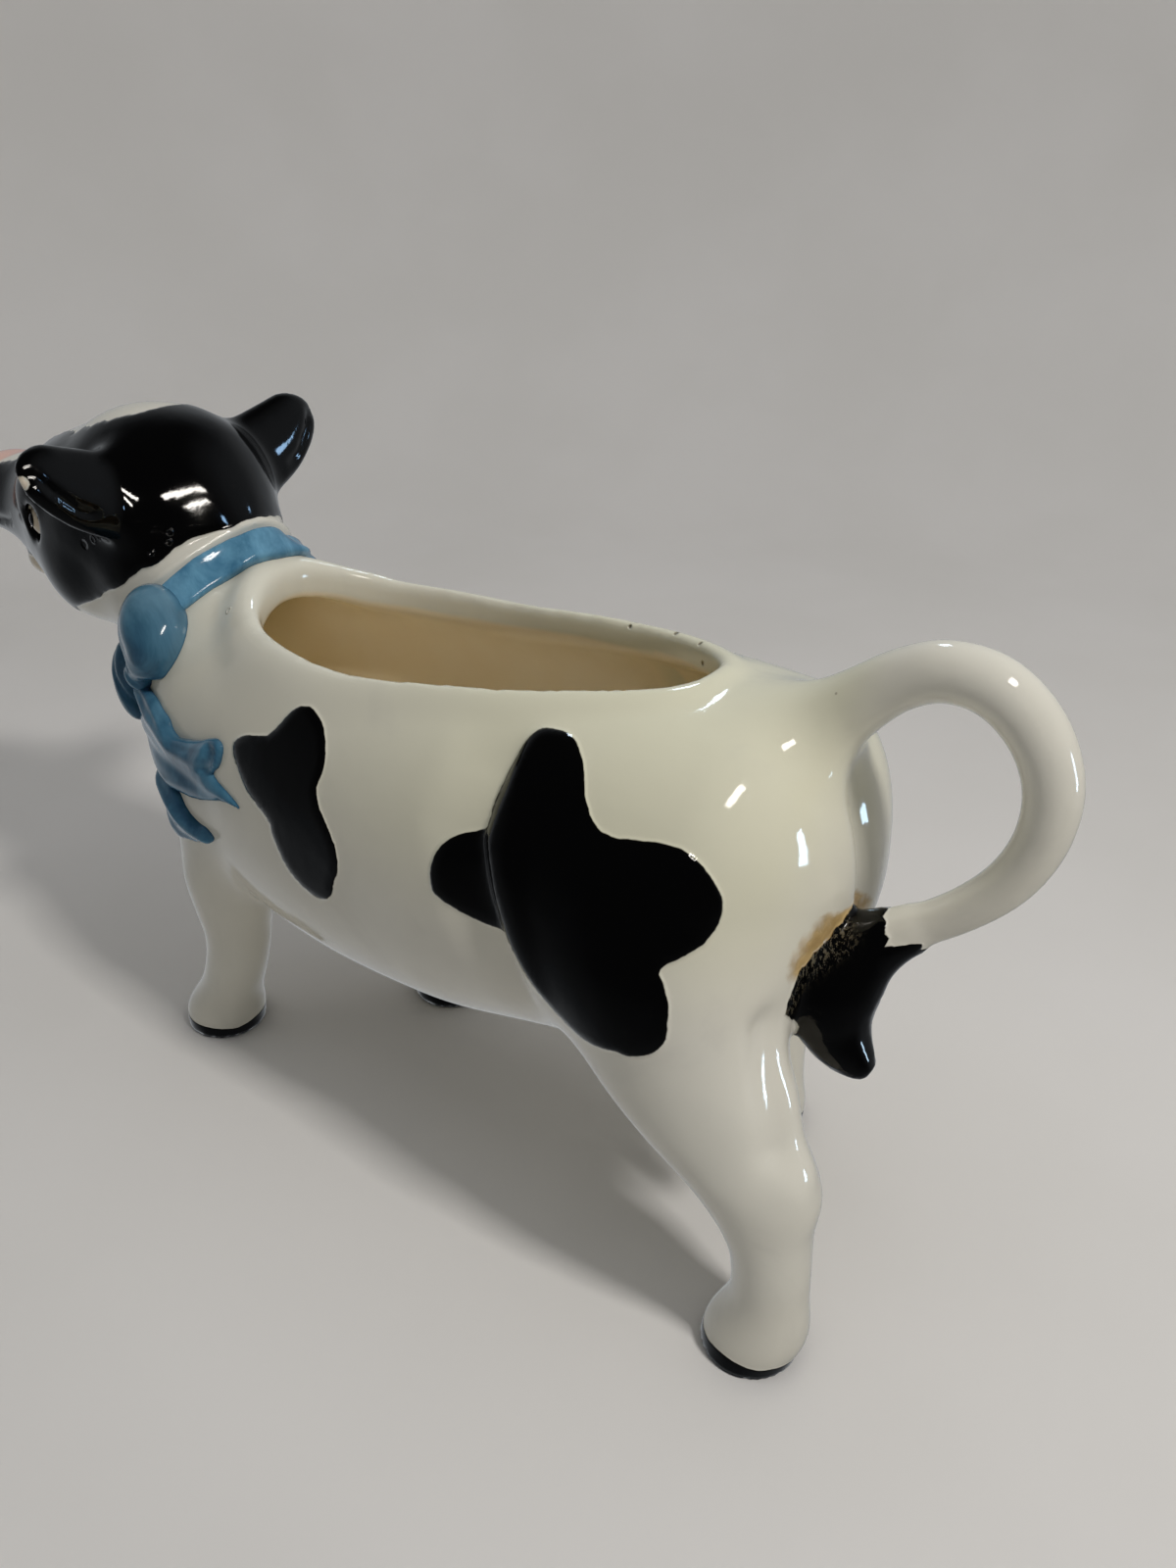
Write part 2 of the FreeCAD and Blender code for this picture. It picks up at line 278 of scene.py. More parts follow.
LEG_HL = [(66, 60, 17.5, 12.0, 9.6), (54, 62.6, 18.6, 15.0, 11.4), (44, 66.8, 19.6, 15.3, 10.4), (36, 72.2, 20.3, 12.4, 9.0),
          (29, 78.4, 20.4, 9.4, 7.5), (23, 80.8, 20.6, 6.4, 6.1), (18, 82.0, 20.7, 5.4, 5.4), (12, 82.3, 20.7, 5.3, 5.2),
          (7.5, 81.8, 20.7, 6.2, 5.9), (3.5, 80.7, 20.7, 7.1, 6.9), (1.2, 79.9, 20.7, 6.9, 6.9), (-3, 79.4, 20.7, 6.6, 6.7)]
LEG_HR = [(66, 60, 17.5, 12.5, 10.0), (54, 60, 19.0, 15.6, 12.0), (44, 58.3, 20.0, 16.6, 11.0), (36, 57.4, 20.3, 13.8, 9.4),
          (28, 57.6, 20.4, 10.2, 7.6), (23, 58.6, 20.6, 8.0, 6.4), (18, 60.4, 20.7, 6.2, 5.6), (12, 61.2, 20.7, 5.4, 5.2),
          (7.5, 61.0, 20.7, 5.9, 5.7), (3.5, 60.2, 20.7, 7.2, 6.9), (1.2, 59.7, 20.7, 7.4, 7.1), (-3, 59.5, 20.7, 7.2, 6.9)]
LEG_FL = [(58, -26, 12.5, 9.0, 8.0), (46, -26.6, 14.6, 9.4, 8.2), (37, -28.3, 15.6, 8.4, 7.8), (30, -28.8, 15.6, 7.1, 6.8),
          (24, -29.3, 15.5, 5.8, 5.9), (18, -31.0, 15.3, 5.8, 5.6), (12, -33.6, 15.1, 5.9, 5.6), (7.5, -36.2, 15.0, 6.6, 6.2),
          (3.5, -37.8, 15.0, 7.7, 7.2), (1.2, -38.1, 15.0, 7.4, 7.1), (-3, -38.2, 15.0, 7.2, 6.9)]
LEG_FR = [(58, -26, 12.5, 9.0, 8.0), (46, -25.0, 14.6, 9.4, 8.2), (37, -22.6, 15.8, 8.4, 7.8), (30, -19.6, 16.2, 7.1, 6.8),
          (24, -16.6, 16.5, 6.1, 6.0), (18, -13.2, 16.8, 5.2, 5.3), (12, -11.0, 17.0, 5.2, 5.2), (7.5, -9.6, 17.0, 5.8, 5.7),
          (3.5, -8.6, 17.0, 7.2, 6.9), (1.2, -8.1, 17.0, 7.4, 7.1), (-3, -8.0, 17.0, 7.2, 6.9)]


def leg_solid(rows, side):
    top = rows[0][0]
    return Sections([(z, x, side * y, a, b) for z, x, y, a, b in rows], -12.0, top + 5, 2.0, 14.0, sigma=1.3)


legs = [leg_solid(LEG_HL, -1), leg_solid(LEG_HR, 1), leg_solid(LEG_FL, -1), leg_solid(LEG_FR, 1)]
leg_boxes = []
for rows, side in ((LEG_HL, -1), (LEG_HR, 1), (LEG_FL, -1), (LEG_FR, 1)):
    r = np.array(rows)
    ys = side * r[:, 2]
    leg_boxes.append(((r[:, 1] - r[:, 3]).min() - 12, (r[:, 1] + r[:, 3]).max() + 12, (ys - r[:, 4]).min() - 10, (ys + r[:, 4]).max() + 10))

TAIL = smooth_path([
    (63.0, 0, 73.5, 9.0), (67.5, 0, 78.6, 7.6), (71.6, 0, 82.8, 6.0), (75.2, 0, 86.4, 4.8), (78.8, 0, 89.7, 4.0),
    (82.8, 0, 92.9, 3.65), (87.8, 0, 95.1, 3.6), (93.7, 0, 94.6, 3.6), (98.8, 0, 90.6, 3.5), (101.65, 0, 84.6, 3.35),
    (101.6, -0.2, 78.0, 3.1), (99.0, -0.6, 71.5, 2.9), (94.2, -1.4, 66.1, 2.7), (88.0, -2.6, 61.5, 2.65), (85.6, -3.3, 59.7, 2.8)], 150)
TUFT = smooth_path([
    (88.4, -2.6, 61.9, 2.5), (86.6, -3.0, 60.4, 3.1), (84.6, -3.6, 58.6, 4.0), (82.6, -4.8, 56.2, 5.0), (81.3, -6.0, 53.2, 5.8),
    (81.2, -6.9, 50.2, 5.4), (82.2, -7.5, 47.5, 4.5), (83.8, -8.0, 45.7, 3.6), (85.3, -8.3, 44.6, 2.7), (86.2, -8.5, 44.1, 2.1)], 60)


def rim_distance(x, y):
    """Signed distance in plan to the edge of the filling hole, negative over the hole."""
    X = (x - RIM_X) / RIM_A
    B = RIM_B * (1 + RIM_TAPER * np.clip(X, -1.5, 1.5))
    Y = y / B
    ax, ay = np.abs(X) + 1e-6, np.abs(Y) + 1e-6
    n = RIM_N
    rn = ax**n + ay**n
    r = rn ** (1 / n)
    k = r ** (1 - n)
    gx = k * (ax ** (n - 1) * np.sign(X) / RIM_A - ay**n * RIM_B * RIM_TAPER / RIM_A / B)
    gy = k * ay ** (n - 1) * np.sign(Y) / B
    e = (r - 1) / (np.sqrt(gx * gx + gy * gy) + 1e-4)
    ang = np.arctan2(y / RIM_B, X)
    return e + 0.16 * np.sin(5 * ang + 0.6) + 0.12 * np.sin(9 * ang + 2.0)


def outside(P):
    """Barrel, neck, head, legs and tail, before the hollow."""
    x, y, z = P[..., 0], P[..., 1], P[..., 2]
    q = P - NECK_C
    s, u = q @ NECK_D, q @ NECK_U
    D = smin(barrel(x, y, z), neck(s, u, y), 9.0)
    for solid, (x0, x1, y0, y1) in zip(legs, leg_boxes):
        m = (x > x0) & (x < x1) & (y > y0) & (y < y1) & (z < 82)
        if m.any():
            f = np.maximum(solid(z[m], x[m], y[m]), D[m] - 60)
            k = 4.0 + 2.5 * step01(z[m], 30, 55)
            D[m] = smin(D[m], f, k)
    # hind legs: the hollow ahead of the tendon and the knob of the hock, outer side
    m = (x > 50) & (z > 22) & (z < 60) & (np.abs(y) > 12)
    if m.any():
        Q = P[m]
        shift = np.where(Q[:, 1] > 0, np.interp(Q[:, 2], [30.0, 38.0, 46.0, 58.0], [-22.0, -16.0, -9.0, -3.0]), 0.0)
        Q = np.stack([Q[:, 0] - shift, -np.abs(Q[:, 1]), Q[:, 2]], -1)
        d = line_distance(Q, [(78.6, -19.9, 53.0), (80.2, -21.4, 47.5), (81.9, -22.4, 42.5), (82.6, -23.2, 39.0)])
        k = line_distance(Q, [(86.0, -20.8, 34.6), (85.2, -22.6, 33.4)])
        D[m] = D[m] + 1.6 * np.exp(-((d / 2.5) ** 2)) - 1.0 * np.exp(-((k / 3.0) ** 2))
    # the front edge of the haunch: a shallow hollow ahead of it
    m = (x > 22) & (x < 56) & (z > 40) & (z < 88) & (np.abs(y) > 14)
    if m.any():
        line = np.interp(z[m], [50.0, 58.7, 64.5, 71.2, 77.3, 82.5], [49.5, 46.4, 44.5, 42.7, 43.6, 43.8])
        ahead = x[m] - line
        depth = 1.35 * step01(ahead, -13, -2.2) * (1 - step01(ahead, -2.2, 0.6)) - 0.35 * np.exp(-(((ahead - 2.2) / 2.2) ** 2))
        D[m] = D[m] + depth * step01(z[m], 46, 56) * (1 - step01(z[m], 78, 85))
    # a soft crease between the buttocks, below the tail
    m = (x > 68) & (np.abs(y) < 12) & (z > 36)
    if m.any():
        a = np.abs(y[m])
        depth = 1.5 * np.exp(-((a / 2.6) ** 2)) * step01(x[m], 71, 79) * step01(z[m], 42, 50) * (1 - step01(z[m], 78, 86))
        D[m] = D[m] + depth
    m = (x > 52) & (np.abs(y) < 16) & (z > 30)
    if m.any():
        Q = P[m]
        tl, _ = tube(Q, TAIL)
        D[m] = smin(D[m], tl, 6.0 - 3.5 * step01(x[m], 76, 84))
        tf, _ = tube(Q, TUFT)
        D[m] = smin(D[m], tf, 2.0)
    m = x < -22
    if m.any():
        Q = P[m]
        hd = head_field(Q)
        D[m] = smin(D[m], hd, 5.0)
    # a thick roll of glaze where the head meets the collar
    m = (x < -24) & (x > -46) & (z > 80)
    if m.any():
        D[m] = D[m] - 0.55 * np.exp(-(((s[m] - 3.9) / 0.85) ** 2)) * step01(z[m], 83, 89)
    # rolled lip round the filling hole, fuller at the shoulders
    m = (z > 66) & (x > -32) & (x < 70) & (np.abs(y) < 30)
    if m.any():
        e = rim_distance(x[m], y[m])
        f = 1 - step01(x[m], -14, 26)
        r = 1.35 + 0.75 * f
        ring = np.sqrt((e - (1.3 + 1.3 * f)) ** 2 + (D[m] + 0.9 + 0.1 * f) ** 2) - r
        D[m] = smin(D[m], ring, 2.6 + 1.6 * f)
    return np.maximum(D, -z)


def hollow(P):
    x, y, z = P[..., 0], P[..., 1], P[..., 2]
    q = P - NECK_C
    s, u = q @ NECK_D, q @ NECK_U
    D = smin(barrel_in(x, y, z), neck_in(s, u, y), 8.0)
    D = smin(D, head_in(x, y, z), 4.0)
    pas = np.sqrt(y**2 + (z - 90.4 - 0.01 * (-72 - x)) ** 2) - 4.0
    pas = np.maximum(pas, x + 70)
    return smin(D, pas, 2.5)


def head_field(P):
    """Skull, muzzle, eyes and ears."""
    x, y, z = P[..., 0], P[..., 1], P[..., 2]
    D = head(x, y, z)
    A = P.copy()
    A[..., 1] = np.abs(A[..., 1])
    # jaw and cheeks, brow, poll
    D = smin(D, ellipsoid(A, (-61.0, 8.0, 83.8), (8.5, 6.8, 7.8)), 5.0)
    D = smin(D, ellipsoid(A, (-69.0, 9.6, 97.2), (6.4, 4.6, 4.2)), 5.0)
    D = smin(D, ellipsoid(P, (-52.5, 0, 105.8), (10.0, 8.0, 5.4)), 4.5)
    # eye sockets and eyeballs
    eye = np.sqrt(((A - EYE_C) ** 2).sum(-1))
    D = smax(D, -(eye - 3.9), 2.0)
    D = smin(D, eye - 3.3, 0.5)
    # muzzle pad, lips, nostrils
    D = smin(D, ellipsoid(P, (-99.4, 0, 92.6), (5.4, 8.7, 6.4)), 2.5)
    D = smin(D, ellipsoid(P, (-87.6, 0, 81.2), (5.2, 6.2, 4.6)), 2.0)
    D = smax(D, -ellipsoid(A, (-103.2, 5.2, 96.6), (2.6, 1.7, 1.5)), 1.0)
    line = np.sqrt((z - 87.0 - 0.035 * y**2) ** 2 + np.minimum(D + 0.1, 0) ** 2) - 0.55
    line = np.maximum(line, x + 86.0)
    D = smax(D, -line, 0.8)
    # ears
    m = (np.abs(y) > 6) & (x > -66) & (x < -30) & (z > 82)
    if m.any():
        D[m] = smin(D[m], ear_field(A[m] + np.where(y[m] < 0, 1.0, 0.0)[:, None] * EAR_DROOP), 3.0)
    return D


EYE_C = np.array([-67.6, 12.2, 93.2])
EAR_C = np.array([-44.9, 11.0, 101.0])
EAR_DROOP = np.array([0.3, 0.0, 1.3])  # the left ear hangs a little lower
EAR_A = unit([0.5, 17.0, 6.0])
EAR_U = np.array([0.34, 0.0, -0.94])
EAR_U = unit(EAR_U - EAR_A * (EAR_U @ EAR_A))
EAR_W = np.cross(EAR_A, EAR_U)
EAR_W = EAR_W * np.sign(EAR_W[0])
EAR_PATH = Sections(
    [(-2.0, 0.4, 0, 7.2, 3.8), (3.0, 0.5, 0, 7.0, 3.5), (7.0, 0.4, 0, 6.6, 3.1), (11.0, 0.1, 0, 6.0, 2.7), (15.0, -0.7, 0, 5.0, 2.3), (20, -1.2, 0, 4.0, 2.0)],
    -6.0, 19.2, 6.0, 5.5, sigma=1.2, power=2.2)


def ear_field(A):
    """A leaf on the cow's right side with a fold along its back; the caller mirrors it."""
    q = A - EAR_C
    s, u, w = q @ EAR_A, q @ EAR_U, q @ EAR_W
    edge = np.interp(s, [6.0, 9.4, 11.0, 13.2, 15.5, 17.5], [5.3, 5.2, 4.9, 3.7, 2.2, 0.6])
    groove = 0.75 * np.exp(-(((u - edge + 0.9) / 0.85) ** 2)) * step01(s, 6.5, 10.0) * step01(w, 0.0, 0.8)
    front = 1.0 * np.exp(-(((u - 0.6) / 2.4) ** 2)) * step01(s, 3.0, 8.0) * (1 - step01(s, 14.5, 17.5)) * step01(-w, 0.0, 1.0)
    return EAR_PATH(s, u, w) + groove + front


def total(P):
    D = outside(P)
    H = hollow(P)
    x, y, z = P[..., 0], P[..., 1], P[..., 2]
    D = smax(D, -H, 0.7)
    m = (z > 62) & (x > -30) & (x < 66) & (np.abs(y) < 26)
    if m.any():
        e = rim_distance(x[m], y[m])
        D[m] = smax(D[m], -e, 1.5)
    return D


# =====================================================================================
# Meshing
# =====================================================================================


def field_on_grid(fn, lo, hi, h):
    n = [int(math.ceil((b - a) / h)) + 1 for a, b in zip(lo, hi)]
    ax = [lo[i] + h * np.arange(n[i]) for i in range(3)]
    D = np.empty(n, np.float32)
    chunk = max(1, int(700000 / (n[1] * n[2])))
    for i in range(0, n[0], chunk):
        X, Y, Z = np.meshgrid(ax[0][i : i + chunk], ax[1], ax[2], indexing="ij")
        D[i : i + chunk] = fn(np.stack([X, Y, Z], -1))
    return D, np.array(lo, float)


def surface_net(D, lo, h):
    s = D < 0
    n = np.array(D.shape)
    c = np.zeros(n - 1, np.int8)
    for i in (0, 1):
        for j in (0, 1):
            for k in (0, 1):
                c += s[i : n[0] - 1 + i, j : n[1] - 1 + j, k : n[2] - 1 + k]
    act = (c > 0) & (c < 8)
    idx = np.full(n - 1, -1, np.int32)
    I, J, K = np.nonzero(act)
    idx[I, J, K] = np.arange(len(I))
    acc = np.zeros((len(I), 3))
    cnt = np.zeros(len(I))
    base = [(0, 0, 0), (1, 0, 0), (0, 1, 0), (1, 1, 0), (0, 0, 1), (1, 0, 1), (0, 1, 1), (1, 1, 1)]
    for a in range(8):
        for b in range(a + 1, 8):
            pa, pb = base[a], base[b]
            if sum(abs(pa[t] - pb[t]) for t in range(3)) != 1:
                continue
            va = D[I + pa[0], J + pa[1], K + pa[2]].astype(float)
            vb = D[I + pb[0], J + pb[1], K + pb[2]].astype(float)
            m = (va < 0) != (vb < 0)
            t = np.where(m, va / np.where(m, va - vb, 1), 0)
            pos = np.array(pa) + t[:, None] * (np.array(pb) - np.array(pa))
            acc[m] += pos[m]
            cnt[m] += 1
    V = lo + h * (np.stack([I, J, K], 1) + acc / cnt[:, None])
    quads = []
    for ax in range(3):
        o = [a for a in range(3) if a != ax]
        sl0 = [slice(None)] * 3
        sl1 = [slice(None)] * 3
        sl0[ax], sl1[ax] = slice(0, -1), slice(1, None)
        for a in o:
            sl0[a] = slice(1, -1)
            sl1[a] = slice(1, -1)
        s0, s1 = s[tuple(sl0)], s[tuple(sl1)]
        e = np.nonzero(s0 != s1)
        inside_first = s0[e]
        p = [e[0].copy(), e[1].copy(), e[2].copy()]
        for a in o:
            p[a] = p[a] + 1
        q = []
        for da, db in ((-1, -1), (0, -1), (0, 0), (-1, 0)):
            r = [p[0].copy(), p[1].copy(), p[2].copy()]
            r[o[0]] += da
            r[o[1]] += db
            q.append(idx[r[0], r[1], r[2]])
        q = np.stack(q, 1)
        flip = inside_first if ax != 1 else ~inside_first
        q[~flip] = q[~flip][:, ::-1]
        quads.append(q)
    F = np.concatenate(quads)
    F = F[(F >= 0).all(1)]
    return V, F


def gradient(fn, V, e=0.05):
    g = np.empty_like(V)
    for a in range(3):
        d = np.zeros(3)
        d[a] = e
        g[:, a] = (fn(V + d) - fn(V - d)) / (2 * e)
    return g


def relax(V, F, fn, rounds=3, lock=None):
    """Evens out the mesh along the surface, then puts each vertex back on it."""
    E = np.concatenate([F[:, [0, 1]], F[:, [1, 2]], F[:, [2, 3]], F[:, [3, 0]]])
    E = np.concatenate([E, E[:, ::-1]])
    deg = np.bincount(E[:, 0], minlength=len(V)).astype(float)
    for it in range(rounds):
        avg = np.stack([np.bincount(E[:, 0], V[E[:, 1], a], minlength=len(V)) for a in range(3)], 1) / deg[:, None]
        g = gradient(fn, V)
        gl = np.linalg.norm(g, axis=1, keepdims=True) + 1e-6
        nrm = g / gl
        mv = (avg - V) * 0.6
        mv -= (mv * nrm).sum(1, keepdims=True) * nrm
        V2 = V + mv
        d = fn(V2)[:, None]
        V = V2 - np.clip(d / gl, -0.4, 0.4) * nrm
    return V


def build(fn, lo, hi, h, rounds=3):
    D, o = field_on_grid(fn, lo, hi, h)
    V, F = surface_net(D, o, h)
    V = relax(V, F, fn, rounds)
    return V, F


def biggest_part(V, F, keep=1):
    """Drops crumbs: keeps the largest connected pieces."""
    lab = np.arange(len(V))
    while True:
        m = lab[F].min(1)
        new = lab.copy()
        for j in range(4):
            np.minimum.at(new, F[:, j], m)
        new = new[new]
        if (new == lab).all():
            break
        lab = new
    ids, cnt = np.unique(lab[F[:, 0]], return_counts=True)
    good = ids[np.argsort(-cnt)[:keep]]
    F = F[np.isin(lab[F[:, 0]], good)]
    used = np.unique(F)
    mp = np.full(len(V), -1)
    mp[used] = np.arange(len(used))
    return V[used], mp[F]


def make_object(name, V, F, attrs=None, node=(), material=None):
    me = bpy.data.meshes.new(name)
    me.vertices.add(len(V))
    me.vertices.foreach_set("co", (V * MM).astype(np.float32).ravel())
    me.loops.add(F.size)
    me.loops.foreach_set("vertex_index", F.astype(np.int32).ravel())
    me.polygons.add(len(F))
    me.polygons.foreach_set("loop_start", np.arange(0, F.size, F.shape[1], dtype=np.int32))
    me.polygons.foreach_set("loop_total", np.full(len(F), F.shape[1], np.int32))
    me.polygons.foreach_set("use_smooth", np.ones(len(F), bool))
    me.update(calc_edges=True)
    me.validate()
    for k, v in (attrs or {}).items():
        a = me.attributes.new(k, "FLOAT", "POINT")
        a.data.foreach_set("value", np.asarray(v, np.float32))
    ob = bpy.data.objects.new(name, me)
    bpy.context.scene.collection.objects.link(ob)
    if material is not None:
        me.materials.append(material)
    if node:
        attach(ob, "root")
        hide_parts(*node)
    return ob


# =====================================================================================
# Painted areas, as distances in millimetres kept on the vertices
# =====================================================================================


def wrap(P, side):
    """The flank unrolled round the barrel's axis: x, and arc length from the spine."""
    return np.stack([P[..., 0], 28.0 * np.arctan2(side * P[..., 1], P[..., 2] - 58.0)], -1)


def rounded(poly, times=2):
    p = np.array(poly, float)
    for _ in range(times):
        q = np.roll(p, -1, 0)
        p = np.stack([0.75 * p + 0.25 * q, 0.25 * p + 0.75 * q], 1).reshape(-1, 2)
    return p


def poly_distance(p, poly):
    """Signed distance in the plane, negative inside."""
    a = np.array(poly, float)
    b = np.roll(a, -1, 0)
    best = np.full(len(p), 1e9)
    inside = np.zeros(len(p), bool)
    for i in range(len(a)):
        e = b[i] - a[i]
        w = p - a[i]
        t = np.clip((w @ e) / max(e @ e, 1e-9), 0, 1)
        best = np.minimum(best, ((w - t[:, None] * e) ** 2).sum(1))
        c = (a[i, 1] > p[:, 1]) != (b[i, 1] > p[:, 1])
        dy = b[i, 1] - a[i, 1]
        if abs(dy) > 1e-9:
            inside ^= c & (p[:, 0] < a[i, 0] + (p[:, 1] - a[i, 1]) * e[0] / dy)
    return np.sqrt(best) * np.where(inside, -1, 1)


# outlines of the black patches on the unrolled flank
PATCH_FRONT = [(5.0, 23.1), (6.6, 22.9), (7.7, 23.2), (9.5, 24.3), (10.6, 25.4), (11.8, 27.6), (12.2, 29.7), (11.0, 33.7),
               (15.0, 38.8), (15.8, 41.5), (15.5, 43.4), (14.0, 46.3), (13.7, 47.6), (13.1, 48.5), (11.5, 49.8), (9.2, 50.2),
               (6.4, 49.4), (3.3, 47.2), (1.0, 42.7), (0.7, 40.4), (-4.0, 38.0), (-5.5, 36.6), (-8.7, 32.7), (-8.9, 31.2),
               (-8.5, 30.5), (-5.8, 29.1), (-3.1, 28.8), (-0.2, 28.1), (3.1, 24.1), (4.3, 23.4)]
PATCH_REAR = [(44.6, 16.9), (47.5, 16.7), (49.4, 17.4), (50.8, 18.4), (52.4, 20.0), (55.0, 24.4), (58.0, 26.7), (63.8, 25.4),
              (67.3, 25.1), (69.1, 25.4), (70.9, 26.3), (72.7, 28.4), (73.1, 29.7), (73.2, 31.4), (72.5, 34.6), (70.9, 37.0),
              (67.7, 39.5), (68.9, 41.4), (69.7, 43.8), (70.0, 47.6), (69.6, 48.9), (68.9, 49.8), (67.5, 50.7), (65.3, 51.4),
              (63.8, 51.3), (62.2, 51.8), (59.5, 52.4), (56.6, 52.6), (52.6, 50.9), (46.1, 44.0), (44.7, 43.4), (40.4, 43.0),
              (36.2, 41.9), (33.7, 40.8), (33.3, 39.9), (33.2, 37.4), (33.9, 35.2), (34.7, 34.0), (35.7, 32.9), (37.2, 31.8),
              (40.4, 30.4), (41.3, 29.9), (41.2, 26.1), (42.2, 21.5), (43.2, 18.4), (43.7, 17.6)]
PATCH_FAR_A = [(-14, 30), (-8, 24), (-1, 23), (4, 27), (10, 26), (17, 29), (19, 35), (14, 40), (13, 46), (7, 51), (0, 49),
               (-3, 43), (-10, 41), (-15, 36)]
PATCH_FAR_B = [(46, 24), (52, 19), (60, 18), (67, 21), (71, 27), (70, 34), (64, 38), (63, 44), (57, 49), (50, 47), (47, 40),
               (41, 37), (39, 30)]
TUFT_EDGE = np.array([86.2, -3.4, 63.0])
TUFT_ALONG = unit([6.2, 1.2, 4.6])
HOOVES = [(80.4, -20.7), (59.6, 20.7), (-38.1, -15.0), (-8.1, 17.0)]


def body_paint(V):
    x, y, z = V.T
    out = {}
    black = np.full(len(V), 20.0)
    near = (y < 4) & (x > -20) & (x < 84) & (z > 40)
    w = wrap(V[near], -1)
    black[near] = np.minimum(poly_distance(w, rounded(PATCH_FRONT, 1)), poly_distance(w, rounded(PATCH_REAR, 1)))
    far = (y > 4) & (x > -30) & (x < 84) & (z > 34)
    w = wrap(V[far], 1)
    black[far] = np.minimum(poly_distance(w, rounded(PATCH_FAR_A)), poly_distance(w, rounded(PATCH_FAR_B)))
    dep = -outside(V)
    black = np.where(dep > 1.2, 20.0, black)
    # brush of the tail
    m = (x > 70) & (z > 36) & (z < 74) & (y < 6)
    tf, along = tube(V[m], TUFT)
    q = V[m] - TUFT_EDGE
    w = q @ TUFT_ALONG
    low = q @ unit([0.62, -0.1, -0.78])
    side = q[:, 1]
    jag = 0.35 * np.sin(side * 2.3 + 0.5) + 0.3 * np.sin(low * 3.1 + 2.0) - 0.35 * low + 4.6 * step01(low, 2.3, 4.2)
    reach_out = np.interp(-side, [2.6, 6.5, 10.6, 12.1], [0.5, 1.9, 3.8, 3.9])
    reach_out = 0.5 + (reach_out - 0.5) * step01(V[m][:, 2], 49, 53.5) + 1.1 * step01(w, -6.5, -3.5) + 0.12 * np.sin(V[m][:, 1] * 3.1) + 0.1 * np.sin(V[m][:, 2] * 4.3)
    sd = np.maximum(tf - reach_out, w - jag)
    keep = black[m]
    black[m] = np.minimum(keep, sd)
    dry = np.full(len(V), 9.0)
    rough = line_distance(V[m], [(78.9, -16.2, 53.0), (79.4, -14.3, 57.5), (80.5, -9.9, 60.4), (81.6, -7.6, 61.4)])
    dry[m] = np.where(sd < 0.3, rough * 0.42 - 0.6, 9.0)
    out["dry"] = dry
    m70 = m
    # soles and hooves
    for hx, hy in HOOVES:
        m = (np.hypot(x - hx, y - hy) < 14) & (z < 12)
        a = np.arctan2(y[m] - hy, x[m] - hx)
        edge = 2.75 + 0.35 * np.sin(2 * a + hx) + 0.18 * np.sin(5 * a + 1.3 * hx)
        black[m] = np.minimum(black[m], z[m] - edge)
    out["black"] = black
    out["deep"] = dep
    out["pool"] = step01(z, 52, 74) * (0.35 + 0.65 * step01(x, -10, 50)) * (1 - step01(x, 76, 84))
    stain = np.full(len(V), 20.0)
    stain[m70] = np.maximum(tf - reach_out, 0) + 4.4 * (1 - step01(V[m70][:, 2], 55.0, 59.5)) + 4.4 * step01(w, -4.5, -2.5)
    out["stain"] = stain
    out["pink"] = np.full(len(V), 20.0)
    out["cream"] = np.full(len(V), 20.0)
    return out


